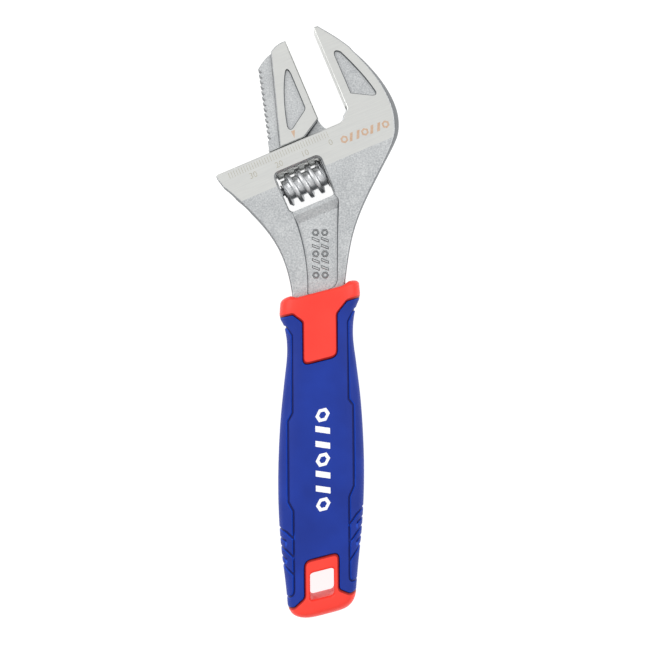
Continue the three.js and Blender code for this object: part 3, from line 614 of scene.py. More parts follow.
def forging_draft(point):
    """How far the forging's side leans in at a place on its outline: most round the back of the fixed jaw."""
    head = Matrix.Rotation(-HEAD_ANGLE, 2) @ (Vector(point) - CORNER)
    machined = head.x < 0.5 and head.y > -0.5
    if machined or point[1] < GRIP_LENGTH - 3:
        return 0.0
    height = point[1] - CORNER.y
    reach = BACK_DRAFT_ABOVE if height > 0 else BACK_DRAFT_BELOW
    behind_jaw = math.exp(-((height / reach) ** 2)) if point[0] > CORNER.x else 0.0
    from_tip = max(0, min(JAW_HEIGHT - head.y, head.x + GUIDE_LENGTH))
    return min(TIP_DRAFT + DRAFT_GROWTH * from_tip, SIDE_DRAFT + BACK_DRAFT * behind_jaw)


def neck_panel():
    """The recessed panel of the neck, from inside the window to inside the collar."""
    points = [at_head(WINDOW["left"] + 0.8, WINDOW["bottom"] + 1), from_corner(-21.3, -33.5)]
    points += curve(points[-1], from_corner(-18.4, -41), from_corner(-15.8, -51), from_corner(-16.4, -63), 10)
    points += [(2.6, GRIP_LENGTH - 4.0), (3.6, GRIP_LENGTH - 1.4)]
    points += bend(points[-1], (6.5, GRIP_LENGTH - 0.8), (6.7, GRIP_LENGTH + 2.8), 6)
    points += [from_corner(-5.0, -40), from_corner(-4.7, -29.9)]
    points += bend(points[-1], from_corner(-4.7, -29), from_corner(-5.3, -28.2), 3)
    return points + [at_head(WINDOW["right"] - 0.6, WINDOW["bottom"] + 1)]


def pocket(points, depth, face, wall):
    """A cutter for a shallow pocket with sloping walls, at the face's height."""
    return stack([(points, face - depth), (inward(points, -2 * wall), face + depth)])


def both_faces(solid):
    """The same cutter on both faces."""
    other = solid.copy()
    bmesh.ops.scale(other, vec=(1, 1, -1), verts=other.verts)
    bmesh.ops.reverse_faces(other, faces=other.faces)
    return [solid, other]


def fixed_jaw_pocket():
    top = JAW_HEIGHT - 11
    points = [(3.5, 8.4), (10.2, 4.7)]
    points += bend(points[-1], (11.9, 4.1), (11.4, 5.9), 5)
    points += curve(points[-1], (10.2, 12), (7.6, 18.5), (5.5, top - 1), 14)
    points += bend(points[-1], (3.6, top + 1.0), (3.4, top - 1.4), 6)
    return points


def window_cutter():
    outline = rounded_rectangle(*(WINDOW[k] for k in ("left", "bottom", "right", "top", "corner")))
    wide = inward(outline, -2 * WINDOW_CHAMFER)
    low = HEAD_HALF - WINDOW_CHAMFER
    high = HEAD_HALF + WINDOW_CHAMFER
    return stack([(wide, -high), (outline, -low), (outline, low), (wide, high)])


def thinned_neck(solid):
    """Cuts the forging's faces, which fall away below the grind line."""
    for face in (1, -1):
        point = Vector((*at_head(0, GRIND_LINE), face * HEAD_HALF))
        outwards = Vector((0, -math.sin(FALL_AWAY), face * math.cos(FALL_AWAY)))
        cut_through = bmesh.ops.bisect_plane(
            solid, geom=everything(solid), plane_co=point, clear_outer=True,
            plane_no=Matrix.Rotation(HEAD_ANGLE, 3, "Z") @ outwards,
        )["geom_cut"]
        bmesh.ops.contextual_create(solid, geom=of_type(bmesh.types.BMEdge, cut_through))
    bmesh.ops.recalc_face_normals(solid, faces=solid.faces)
    return solid


def wrench_body():
    outline = body_outline()
    small = inward(outline, forging_draft)
    solid = stack([(small, -HEAD_HALF), (outline, -0.25), (outline, 0.25), (small, HEAD_HALF)])
    solid = thinned_neck(solid)
    rims = []
    for edge in solid.edges:
        flat = [abs(face.normal.z) > NEARLY_FLAT for face in edge.link_faces]
        if sorted(flat) == [False, True]:
            rims.append(edge)
    bevelled(solid, rims, EDGE_BREAK, 2)
    aside, climb = 40.0, 9.0  # well past the tang's sides, where the cut's end has climbed to the right
    tang = [(-aside, TANG_END - 5), (aside, TANG_END - 5)]
    tang += [(aside, NECK_END + climb), (-aside, NECK_END - climb)]
    tang_cuts = both_faces(stack([(tang, TANG_HALF), (tang, HEAD_HALF + 2)]))
    past_tip = -GUIDE_LENGTH - 5
    head_end = PIN_LEFT + PIN_HEAD_LENGTH + PIN_CLEARANCE
    slot = rectangle(past_tip, -GUIDE_DEPTH, SLOT_RIGHT, SLOT_TOP)
    head_cuts = [
        rod(past_tip, GUIDE_END, GUIDE_RADIUS, -GUIDE_DEPTH, 0.0, 64),
        plate(slot, SLOT_HALF),
        window_cutter(),
        rod(past_tip, PIN_RIGHT + PIN_CLEARANCE, PIN_RADIUS + PIN_CLEARANCE, WORM_HEIGHT),
        rod(past_tip, head_end, PIN_HEAD_RADIUS + PIN_CLEARANCE, WORM_HEIGHT),
        *both_faces(pocket(fixed_jaw_pocket(), POCKET_DEPTH, HEAD_HALF, 0.32)),
    ]
    to_handle = HANDLE.inverted() @ HEAD
    solid = cut(solid, *[placed(tool, to_handle) for tool in head_cuts])
    solid = cut(solid, *both_faces(panel_cut()), *tang_cuts)
    return solid


def panel_cut():
    """The panel's cutter on the front: a shelf under the window, a ramp, then a floor down to the collar."""
    shelf, floor, over = HEAD_HALF - PANEL_SHELF, PANEL_FLOOR, HEAD_HALF + 1
    outline = neck_panel()
    opening = stack([(inward(outline, PANEL_DRAFT), floor - 0.5), (inward(outline, -PANEL_DRAFT), over)])
    profile = [(0, shelf), (RAMP_TOP, shelf), (RAMP_BOTTOM, floor), (-2 * GRIP_LENGTH, floor)]
    profile += [(-2 * GRIP_LENGTH, over + 1), (0, over + 1)]
    across = placed(plate(profile, 2 * GRIP_LENGTH), HANDLE.inverted() @ HEAD @ ON_EDGE)
    return combine(opening, across, "INTERSECT")


def on_broad_face(face, half):
    """Whether a face lies flat at half the piece's thickness."""
    return abs(face.normal.z) > 0.995 and abs(abs(face.calc_center_median().z) - half) < 0.02


def steel_finish(face, ground):
    """0 for a face that was ground after forging, 2 for a steep flank, which gets the darker steel as painted
    shade, 1 for the blasted rest.
    """
    if ground:
        return 0
    return 2 if abs(face.normal.z) < FLANK_SLOPE else 1


def body_finish(face):
    middle = face.calc_center_median()
    head = Matrix.Rotation(-HEAD_ANGLE, 2) @ (middle.xy - CORNER)
    top = on_broad_face(face, HEAD_HALF) and head.y > GRIND_LINE
    gripping = abs(head.x) < MACHINED_WITHIN and head.y > 3
    guide_edge = abs(head.y) < MACHINED_WITHIN and head.x < 0
    return steel_finish(face, top or gripping or guide_edge)


# ---- Movable jaw, drawn with its face at u = 0 ----


def smooth_jaw_outline():
    points = [(0, 4.4), (0, 18), (0, JAW_HEIGHT - 0.6)]
    points += bend(points[-1], (-3.2, JAW_HEIGHT - 0.2), (-6.3, JAW_HEIGHT - 2.2), 6)
    return points + [(-16.5, JAW_LIFT), (HEEL, JAW_LIFT)]


def jaw_heel():
    """The drafted wall along the slanted underside of the jaw."""
    foot = [(0, 4.4), (HEEL, JAW_LIFT), (HEEL + 1.2, JAW_LIFT), (-0.9, 3.45)]
    brink = [(0, 4.4), (HEEL, JAW_LIFT), (HEEL + 0.1, JAW_LIFT), (-0.1, 4.25)]
    high, low = JAW_HALF - EDGE_BREAK, TOOTHED_HALF + 0.5
    return stack([(brink, -high), (foot, -low), (foot, low), (brink, high)])


def toothed_jaw_outline():
    """The jaw's thinner back, with saw teeth down its edge."""
    top, bottom = Vector((-12.9, JAW_HEIGHT - 6)), Vector((-20.7, JAW_LIFT))
    along = (bottom - top).normalized()
    into = Vector((-along.y, along.x)) * PIPE_TOOTH_DEPTH
    teeth = int((bottom - top).length / PIPE_TOOTH_PITCH) - 1
    points = [(-5.3, JAW_HEIGHT - 2.5)]
    points += bend(points[-1], (-8.8, JAW_HEIGHT - 2.7), tuple(top), 5)[:-1]
    for i in range(teeth):
        tip = top + along * PIPE_TOOTH_PITCH * i
        points += [tuple(tip), tuple(tip + along * PIPE_TOOTH_PITCH * 0.6 + into)]
    points.append(tuple(top + along * PIPE_TOOTH_PITCH * teeth))
    return points + [tuple(bottom), (-14.5, JAW_LIFT)]


def tongue_outline():
    points = [(-20.7, 1.3), (-20.7, -GUIDE_DEPTH), (2.7, -GUIDE_DEPTH), (2.7, -JAW_LIFT)]
    points += bend(points[-1], (0.4, 0), (-0.1, 4.5), 8)
    return points + [(-2, 6)]


def movable_jaw_pocket():
    top = JAW_HEIGHT - 10.6
    points = [(-2.9, 10.4), (-2.9, top - 1.6)]
    points += bend(points[-1], (-3.2, top + 1.6), (-4.5, top - 0.9), 7)
    points += curve(points[-1], (-7, 19.6), (-9.6, 12.5), (-11, 6.2), 12)
    points += bend(points[-1], (-11.1, 4.5), (-9.7, 5.0), 5)
    points += [(-3.7, 9.0)]
    return points + bend(points[-1], (-2.9, 9.5), points[0], 4)[:-1]


def step_groove():
    """The fine groove along the foot of the step between the jaw's two thicknesses."""
    top, bottom = Vector((-5.9, JAW_HEIGHT - 1.9)), Vector((-16.6, JAW_LIFT - 1))
    aside = Vector((bottom.y - top.y, top.x - bottom.x)).normalized() * STEP_GROOVE
    points = [tuple(top), tuple(bottom), tuple(bottom + aside), tuple(top + aside)]
    return stack([(points, TOOTHED_HALF - STEP_GROOVE), (points, TOOTHED_HALF + STEP_GROOVE)])


def thread_width(radius):
    share = (WORM_RADIUS - radius) / (WORM_RADIUS - WORM_ROOT)
    return CREST_WIDTH + share * (ROOT_WIDTH - CREST_WIDTH)


def rack_gap(u):
    """One gap of the rack, turned to the thread's lead."""
    axis_to_tip = RACK_TIP - WORM_HEIGHT
    tip = thread_width(axis_to_tip) / 2 + FLANK_CLEARANCE
    slope = (ROOT_WIDTH - CREST_WIDTH) / (2 * (WORM_RADIUS - WORM_ROOT))
    root = tip - slope * (RACK_ROOT - RACK_TIP)
    mouth = tip + slope * 5
    gap = plate([(-mouth, RACK_TIP - 5), (mouth, RACK_TIP - 5), (root, RACK_ROOT), (-root, RACK_ROOT)], 9)
    lead = math.atan(WORM_PITCH / (math.pi * (WORM_RADIUS + axis_to_tip)))
    return placed(gap, Matrix.Translation((u, 0, 0)) @ Matrix.Rotation(lead, 4, "Y"))


def movable_jaw():
    smooth = edged_plate(smooth_jaw_outline(), JAW_HALF, EDGE_BREAK)
    toothed = edged_plate(toothed_jaw_outline(), TOOTHED_HALF, 0.15)
    slide = rod(-SLIDE_BACK, SLIDE_AHEAD, SLIDE_RADIUS, -GUIDE_DEPTH, 0.4, 64)
    solid = join(smooth, toothed, jaw_heel(), plate(tongue_outline(), TONGUE_HALF), slide)
    solid = cut(solid, *both_faces(pocket(movable_jaw_pocket(), POCKET_DEPTH, JAW_HALF, 0.32)))
    solid = cut(solid, *both_faces(step_groove()))
    crest = REST_OPENING - CREST_PHASE
    first = math.ceil((-SLIDE_BACK - WORM_PITCH / 2 - crest) / WORM_PITCH)
    last = math.floor((SLIDE_AHEAD + WORM_PITCH / 2 - crest) / WORM_PITCH)
    solid = cut(solid, *[rack_gap(crest + WORM_PITCH * i) for i in range(first, last + 1)])
    return placed(solid, Matrix.Translation((-REST_OPENING, 0, 0)))


def jaw_finish(face):
    middle = face.calc_center_median()
    gripping = abs(middle.x + REST_OPENING) < MACHINED_WITHIN and middle.y > 4
    return steel_finish(face, on_broad_face(face, JAW_HALF) or gripping or middle.y < 0)


# ---- Worm, pin and spring ----


def worm():
    """A thread's profile swept round the worm's axis, trimmed to a barrel, and bored for pin and spring."""
    crest, root = CREST_WIDTH / 2, ROOT_WIDTH / 2
    easing = 0.18
    profile = [
        (-WORM_PITCH / 2, WORM_ROOT), (-root - easing, WORM_ROOT), (-root + easing / 2, WORM_ROOT + easing),
        (-crest - easing / 2, WORM_RADIUS - easing), (-crest + easing, WORM_RADIUS),
        (crest - easing, WORM_RADIUS), (crest + easing / 2, WORM_RADIUS - easing),
        (root - easing / 2, WORM_ROOT + easing), (root + easing, WORM_ROOT), (WORM_PITCH / 2, WORM_ROOT),
    ]
    turns = math.ceil(WORM_LENGTH / WORM_PITCH) + 2
    around = 40
    thread = bmesh.new()
    start = -CREST_PHASE - WORM_PITCH * (turns - 4)
    corners = [thread.verts.new((start + x, radius, 0)) for x, radius in profile]
    edges = [thread.edges.new(pair) for pair in zip(corners, corners[1:])]
    bmesh.ops.spin(
        thread, geom=corners + edges, cent=(0, 0, 0), axis=(1, 0, 0), dvec=(WORM_PITCH / around, 0, 0),
        angle=math.tau * turns, steps=around * turns, use_merge=False,
    )
    bmesh.ops.remove_doubles(thread, verts=thread.verts, dist=0.01)
    bmesh.ops.holes_fill(thread, edges=thread.edges)
    bmesh.ops.recalc_face_normals(thread, faces=thread.faces)
    right = WORM_LEFT + WORM_LENGTH
    barrel = turned([
        (WORM_LEFT, 0), (WORM_LEFT, WORM_RADIUS - 1.0), (WORM_LEFT + 1.0, WORM_RADIUS + 0.02),
        (right - 1.0, WORM_RADIUS + 0.02), (right, WORM_RADIUS - 1.0), (right, 0),
    ], 72)
    solid = combine(thread, barrel, "INTERSECT")
    bore = rod(WORM_LEFT - 5, right + 5, PIN_RADIUS + PIN_CLEARANCE, 0)
    spring_seat = rod(WORM_LEFT - 5, WORM_LEFT + 4, SPRING_SEAT, 0)
    return placed(cut(solid, bore, spring_seat), Matrix.Translation((0, WORM_HEIGHT, 0)))


def worm_pin():
    profile = [(PIN_LEFT, 0), (PIN_LEFT, PIN_HEAD_RADIUS - 0.25), (PIN_LEFT + 0.25, PIN_HEAD_RADIUS)]
    shoulder = PIN_LEFT + PIN_HEAD_LENGTH
    profile += [(shoulder, PIN_HEAD_RADIUS), (shoulder, PIN_RADIUS), (PIN_RIGHT - 0.4, PIN_RADIUS)]
    profile += [(PIN_RIGHT, PIN_RADIUS - 0.4), (PIN_RIGHT, 0)]
    slot = plate(rectangle(PIN_LEFT - 3, -0.35, PIN_LEFT + 0.8, 0.35), 5)
    return placed(cut(turned(profile, 40), slot), Matrix.Translation((0, WORM_HEIGHT, 0)))


def worm_spring():
    """Round wire swept in a helix round the pin."""
    turns, around = 4, 20
    left, right = WINDOW["left"] + 0.55, WORM_LEFT + 3.45
    middle = (PIN_RADIUS + SPRING_SEAT) / 2
    wire = bmesh.new()
    ring = bmesh.ops.create_circle(wire, radius=SPRING_WIRE, segments=10)["verts"]
    bmesh.ops.translate(wire, verts=ring, vec=(left, middle, 0))
    wire_edges = list({edge for corner in ring for edge in corner.link_edges})
    bmesh.ops.spin(
        wire, geom=ring + wire_edges, cent=(0, 0, 0), axis=(1, 0, 0),
        dvec=((right - left) / (turns * around), 0, 0), angle=math.tau * turns, steps=turns * around,
    )
    bmesh.ops.holes_fill(wire, edges=wire.edges)
    bmesh.ops.recalc_face_normals(wire, faces=wire.faces)
    return placed(wire, Matrix.Translation((0, WORM_HEIGHT, 0)))


steels = [ground_steel, blasted_steel, painted_shade_flank_steel]
forging = wrench_body()
for name, solid, matrix, materials, body, slot, node, finish_of, sharp in (
    ("wrench_forging", forging, HANDLE, steels, "frame", "forged_steel", "wrench_body", body_finish, 18),
    ("sliding_jaw", movable_jaw(), HEAD, steels, "jaw", "jaw_steel", "movable_jaw", jaw_finish, 18),
    ("thumb_worm", worm(), HEAD, [worm_steel], "worm", "worm_steel", "adjusting_worm", None, 40),
    ("pivot_pin", worm_pin(), HEAD, [pin_steel], "frame", "pin_steel", "worm_pin", None, 28),
    ("coil_spring", worm_spring(), HEAD, [spring_steel], "frame", "spring_steel", "worm_spring", None, 60),
):
    finish_piece(name, solid, matrix, materials, body, [node], finish_of, sharp)


# ---- Grip ----


def along(knots, place):
    """The value at a place on a smooth curve through (place, value) knots."""
    last = len(knots) - 2
    i = max(0, min(last, sum(1 for knot in knots if knot[0] <= place) - 1))
    (a, low), (b, high) = knots[i], knots[i + 1]
    before, after = knots[max(0, i - 1)], knots[min(last + 1, i + 2)]
    rise_a = (high - before[1]) / (b - before[0]) * (b - a)
    rise_b = (after[1] - low) / (after[0] - a) * (b - a)
    t = min(1, max(0, (place - a) / (b - a)))
    return (
        low * (2 * t**3 - 3 * t**2 + 1) + rise_a * (t**3 - 2 * t**2 + t)
        + high * (3 * t**2 - 2 * t**3) + rise_b * (t**3 - t**2)
    )


def half_width(height, side=1):
    """Half the grip's width at a height, on its right (1) or its left (-1)."""
    butt = BUTT_RIGHT if side > 0 else BUTT_LEFT
    if height < butt["corner"]:
        t = math.sqrt(max(0, height - BUTT_RISE) / (butt["corner"] - BUTT_RISE))
        return butt["flat"] + (along(GRIP_SIDE, butt["corner"]) - butt["flat"]) * (2 * t - t * t)
    round_from = COLLAR_TOP - COLLAR_CORNER
    if height > round_from:
        s = 1 - math.sqrt(max(0, COLLAR_TOP - height) / COLLAR_CORNER)
        return COLLAR_HALF_WIDTH - COLLAR_CORNER * s * s
    return along(GRIP_SIDE, height)


def half_depth(height):
    """Half the grip's thickness at a height, rounded off at both ends."""
    to_butt = max(0, 1 - (height - BUTT_RISE) / BUTT_ROUNDING)
    to_rim = max(0, 1 - (COLLAR_TOP - height) / RIM_ROUNDING)
    full = along(GRIP_DEPTH, height)
    return full * (1 - to_butt**2.5) ** (1 / 2.5) - RIM_ROUNDING * (1 - math.sqrt(1 - to_rim * to_rim))


def neck_dip(x, height):
    """How far the collar's rim dips where the neck leaves it."""
    across = min(1, max(0, (NECK_LEFT + 0.6 - abs(x)) / 2.2))
    return RIM_DIP * across * max(0, 1 - (COLLAR_TOP - height) / 4)


def drape(pattern_x, height, sunk):
    """A place on the flat pattern, laid over the grip and sunk below its surface."""
    side = 1 if pattern_x > 0 else -1
    share = min(1, abs(pattern_x) / PATTERN_HALF)
    width, depth = half_width(height, side), half_depth(height)
    lift = (1 - share**ROUNDNESS) ** (1 / ROUNDNESS)
    sideways, forwards = share ** (ROUNDNESS - 1) / max(width, 1), lift ** (ROUNDNESS - 1) / max(depth, 1)
    outwards = Vector((sideways, forwards)).normalized()
    x = side * (share * width - outwards.x * sunk)
    return Vector((*raked(x, height - neck_dip(x, height)), max(0, depth * lift - outwards.y * sunk)))


def dense(points, spacing):
    """The same path with no two points further apart than a spacing."""
    path = [points[0]]
    for point in points[1:]:
        start = Vector(path[-1])
        count = max(1, math.ceil((Vector(point) - start).length / spacing))
        path += [tuple(start.lerp(Vector(point), i / count)) for i in range(1, count + 1)]
    return path


def on_pattern(points):
    """A path on the grip's right half, laid out on the flat pattern whose sides are straight."""
    return [(PATTERN_HALF * min(1, x / half_width(height)), height) for x, height in dense(points, 2.5)]


def side_point(height):
    return half_width(height), height


def collar_seam():
    points = [side_point(COLLAR_BOTTOM), (10.1, COLLAR_BOTTOM - 0.2)]
    points += bend(points[-1], (9.7, COLLAR_BOTTOM - 0.3), (9.4, COLLAR_BOTTOM - 0.6), 3)
    points += [(6.8, COLLAR_BOTTOM - 3.2)]
    side = TAB_HALF_WIDTH
    points += bend(points[-1], (side, COLLAR_BOTTOM - 3.7), (side, COLLAR_BOTTOM - 4.3), 3)
    points += [(side, TAB_BOTTOM + TAB_CORNER)]
    points += bend(points[-1], (side, TAB_BOTTOM), (side - TAB_CORNER, TAB_BOTTOM), 5)
    return on_pattern(points + [(0, TAB_BOTTOM)])


def cap_seam():
    points = [side_point(CAP_HEIGHT), (10.9, CAP_HEIGHT - 0.3)]
    points += bend(points[-1], (10.2, CAP_HEIGHT - 0.4), (9.5, CAP_HEIGHT + 0.1), 3)
    points += [(7.1, CAP_HEIGHT + 1.7)]
    side = TAB_HALF_WIDTH
    points += bend(points[-1], (side, CAP_HEIGHT + 2.2), (side, CAP_HEIGHT + 3.2), 3)
    points += [(side, FRAME_TOP - TAB_CORNER)]
    points += bend(points[-1], (side, FRAME_TOP), (side - TAB_CORNER, FRAME_TOP), 5)
    return on_pattern(points + [(0, FRAME_TOP)])


def side_groove():
    """The groove round the side panel, from the side under the collar down to the side above the cap."""
    rungs = sorted([*CHEVRONS, *NOTCHES], reverse=True)
    points = [side_point(PANEL_TOP), (12.0, PANEL_TOP - 0.5), (10.1, 103.8), (10.1, 76.1), (11.8, 73.6)]
    points += [(11.8, 44.9), (PANEL_LOW, 41.4), *[(PANEL_LOW, height) for height in rungs], (PANEL_LOW, 13.2)]
    points += bend(points[-1], (PANEL_LOW, 10.9), (11.6, 10.8), 5)
    return on_pattern(points + [side_point(10.7)])


def chevron(height):
    """A long groove of the side panel, from the side groove out to the side."""
    return on_pattern([(PANEL_LOW, height), (12.7, height + 3.0), side_point(height + 4.6)])


def notch(height):
    """A short groove of the side panel, from its inner end out to the side."""
    return on_pattern([(12.9, height + 3.0), side_point(height + 4.2)])


def hole_outline():
    """The right half of the hang hole's eased rim, from its lowest point up."""
    half, corner = HOLE_HALF_WIDTH + HOLE_EASE[0], HOLE_CORNER + HOLE_EASE[0]
    low, high = HOLE_BOTTOM - HOLE_EASE[1], HOLE_TOP + HOLE_EASE[1]
    lower = arc((half - corner, low + corner), corner, -90, 0)
    upper = arc((half - corner, high - corner), corner, 0, 90)
    return on_pattern([(0, low), *lower, *upper, (0, high)])


def add_region(sheet, points, kind):
    """A face of the flat pattern: kind 0 is the soft sleeve, 1 the hard core."""
    path = [point for i, point in enumerate(points) if (Vector(point) - Vector(points[i - 1])).length > SAME]
    sheet.faces.new([sheet.verts.new((*point, 0)) for point in path]).material_index = kind


def panel_regions(sheet, groove):
    """The side panel's faces, between its long and short grooves."""
    start, above = 0, []
    for height in sorted([*CHEVRONS, *NOTCHES], reverse=True):
        end = min(range(len(groove)), key=lambda i: abs(groove[i][1] - height))
        rung = chevron(height) if height in CHEVRONS else [groove[end], *notch(height)]
        rung[0] = groove[end]
        add_region(sheet, above[::-1] + groove[start + 1 if above else start : end] + rung, 0)
        start, above = end, rung
    add_region(sheet, above[::-1] + groove[start + 1 :], 0)


def flat_pattern():
    """The grip's face laid flat, as faces that meet along the seams and the grooves."""
    sheet = bmesh.new()
    collar, cap, groove = collar_seam(), cap_seam(), side_groove()
    add_region(sheet, [*collar, (0, COLLAR_TOP), (PATTERN_HALF, COLLAR_TOP)], 1)
    add_region(sheet, groove + cap + collar[::-1], 0)
    add_region(sheet, [*cap[::-1], (PATTERN_HALF, BUTT_RISE), (0, BUTT_RISE), *hole_outline()], 1)
    panel_regions(sheet, groove)
    bmesh.ops.remove_doubles(sheet, verts=sheet.verts, dist=SAME)
    bmesh.ops.mirror(sheet, geom=everything(sheet), matrix=Matrix.Identity(4), merge_dist=SAME, axis="X")
    bmesh.ops.recalc_face_normals(sheet, faces=sheet.faces)
    return sheet


def nearest(paths):
    """A search tree of many points along some paths."""
    points = [point for path in paths for point in dense(path, 0.08)]
    tree = KDTree(len(points))
    for i, point in enumerate(points):
        tree.insert((*point, 0), i)
    tree.balance()
    return lambda point: tree.find((abs(point.x), point.y, 0))[2]


def widen(sheet, distance, width):
    """Turns the edges that lie on a path into a strip on each side of it."""
    edges = []
    for edge in sheet.edges:
        start, end = (corner.co for corner in edge.verts)
        if len(edge.link_faces) == 2 and max(map(distance, (start, end, (start + end) / 2))) < ON_PATH:
            edges.append(edge)
    bevelled(sheet, edges, width, 4)


def sink(corner, seams, grooves):
    """How deep a corner of the pattern lies below the grip, and how much painted shade its seam or groove
    gives it.
    """
    hard = all(face.material_index == 1 for face in corner.link_faces)
    from_seam = seams(corner.co) / SEAM_WIDTH
    seam = max(0, 1 - from_seam if hard else 1 - 2 * from_seam)
    groove = max(0, min(1, 2 - 2 * grooves(corner.co) / GROOVE_WIDTH))
    outwards = (corner.co.x / PATTERN_HALF) ** 6
    seam_depth = SEAM_DEPTH * seam * (1 - SEAM_FADE * outwards)
    groove_depth = GROOVE_DEPTH * groove * (1 - GROOVE_FADE * outwards)
    return max(seam_depth, groove_depth), max(seam, GROOVE_PAINTED_SHADE * groove)


def grip_half():
    """The grip's front half: the pattern, cut finely, draped over the grip and closed down to mid-depth."""
    sheet = flat_pattern()
    seams = nearest([collar_seam(), cap_seam()])
    grooves = nearest([side_groove(), *map(chevron, CHEVRONS), *map(notch, NOTCHES)])
    widen(sheet, seams, SEAM_WIDTH)
    widen(sheet, grooves, GROOVE_WIDTH)
    columns = [PATTERN_HALF * math.sin(math.radians(a)) ** (2 / ROUNDNESS) for a in range(5, 90, 5)]
    rows = [BUTT_RISE + BUTT_ROUNDING * (1 - math.cos(math.radians(a))) for a in range(10, 91, 10)]
    rows += [rows[-1] + GRIP_ROW * i for i in range(1, int((COLLAR_TOP - 4 - rows[-1]) / GRIP_ROW) + 1)]
    rows += [COLLAR_TOP - RIM_ROUNDING * (1 - math.sin(math.radians(a))) for a in range(0, 90, 15)]
    planes = [((side * x, 0, 0), (1, 0, 0)) for x in columns for side in (-1, 1)]
    planes += [((0, y, 0), (0, 1, 0)) for y in rows]
    for place, normal in planes:
        bmesh.ops.bisect_plane(sheet, geom=everything(sheet), plane_co=place, plane_no=normal, dist=0.01)
    bmesh.ops.triangulate(sheet, faces=sheet.faces)
    rim = [e for e in sheet.edges if e.is_boundary and min(v.co.y for v in e.verts) > COLLAR_TOP - 0.01]
    hole = [
        e for e in sheet.edges
        if e.is_boundary and max(abs(v.co.x) for v in e.verts) < PATTERN_HALF / 2 and 2 < e.verts[0].co.y < 40
    ]
    # each corner's strength of painted shade, and of painted highlight on the rubber, down the seams and
    # grooves
    painted_line_shading = sheet.verts.layers.float.new("painted_line_shading")
    depths = []
    for corner in sheet.verts:
        depth, corner[painted_line_shading] = sink(corner, seams, grooves)
        depths.append(depth)
    for corner, depth in zip(sheet.verts, depths):
        corner.co = drape(corner.co.x, corner.co.y, depth)
    close_rim(sheet, rim)
    line_hole(sheet, hole)
    return sheet


def extruded(sheet, edges):
    """Extrudes a loop of edges in place: the new loop's edges and corners."""
    new = bmesh.ops.extrude_edge_only(sheet, edges=edges)["geom"]
    return of_type(bmesh.types.BMEdge, new), of_type(bmesh.types.BMVert, new)


def close_rim(sheet, rim):
    """The collar's flat end, down to mid-depth."""
    for corner in extruded(sheet, rim)[1]:
        corner.co.z = 0


def line_hole(sheet, hole):
    """The eased rim of the hang hole, and its wall down to the parting line at mid-depth."""
    middle = (HOLE_BOTTOM + HOLE_TOP) / 2
    share_x = HOLE_EASE[0] / (HOLE_HALF_WIDTH + HOLE_EASE[0])
    share_y = HOLE_EASE[1] / (HOLE_TOP - middle + HOLE_EASE[1])
    step = math.radians(15)
    for i in range(6):
        before, after = step * i, step * (i + 1)
        hole, corners = extruded(sheet, hole)
        for corner in corners:
            height = corner.co.y - corner.co.x * RAKE - middle
            narrower = (1 - share_x * math.sin(after)) / (1 - share_x * math.sin(before))
            lower = (1 - share_y * math.sin(after)) / (1 - share_y * math.sin(before))
            dropped = HOLE_EASE[2] * (math.cos(before) - math.cos(after))
            corner.co = (*raked(corner.co.x * narrower, middle + height * lower), corner.co.z - dropped)
    for height, outwards in ((PARTING_LINE, 1.0), (0, 1.03)):
        hole, corners = extruded(sheet, hole)
        for corner in corners:
            corner.co.x *= outwards
            corner.co.z = height


def grip_piece(kind):
    """The hard core (1) or the soft sleeve (0), with the lips where it meets the other."""
    solid = grip_half()
    bmesh.ops.mirror(solid, geom=everything(solid), matrix=Matrix.Identity(4), merge_dist=SAME, axis="Z")
    others = [face for face in solid.faces if face.material_index != kind]
    bmesh.ops.delete(solid, geom=others, context="FACES")
    bmesh.ops.recalc_face_normals(solid, faces=solid.faces)
    for face in solid.faces:
        face.material_index = 0
    for corner in extruded(solid, [edge for edge in solid.edges if edge.is_boundary])[1]:
        corner.co.x *= 1 - LIP
        corner.co.z *= 1 - 2 * LIP
    return solid


for name, kind, material, slot, node in (
    ("hard_core", 1, red_plastic, "hard_grip_plastic", "grip_core"),
    ("soft_sleeve", 0, blue_rubber, "soft_grip_rubber", "grip_sleeve"),
):
    finish_piece(name, grip_piece(kind), HANDLE, [material], "frame", [node], sharp=32)


# ---- Marks: the scale, the pointer, and plain patterns in place of lettering ----


def add_shape(marks, outline, hole=None):
    """A flat shape, or a flat ring where a hole is given."""
    loops = []
    for points in [outline] + ([hole] if hole else []):
        corners = [marks.verts.new((x, y, 0)) for x, y in points]
        loops.append([marks.edges.new((corners[i - 1], corners[i])) for i in range(len(corners))])
    if hole:
        bmesh.ops.bridge_loops(marks, edges=loops[0] + loops[1])
    else:
        bmesh.ops.contextual_create(marks, geom=loops[0])


def add_number(marks, number, u, v):
    """A number of the scale, centred at a place."""
    text = bpy.data.curves.new("number", "FONT")
    text.body = str(number)
    text.size = NUMBER_SIZE
    text.align_x = "CENTER"
    text.resolution_u = 3
    writing = bpy.data.objects.new("number", text)
    bpy.context.scene.collection.objects.link(writing)
    shape = bmesh.new()
    shape.from_mesh(writing.to_mesh())
    bmesh.ops.translate(shape, verts=shape.verts, vec=(u, v, 0))
    draft = bpy.data.meshes.new("number")
    shape.to_mesh(draft)
    marks.from_mesh(draft)
    shape.free()
    bpy.data.meshes.remove(draft)
    bpy.data.objects.remove(writing)
    bpy.data.curves.remove(text)


def hexagon(centre, radius):
    return arc(centre, radius, 30, 330, 5)


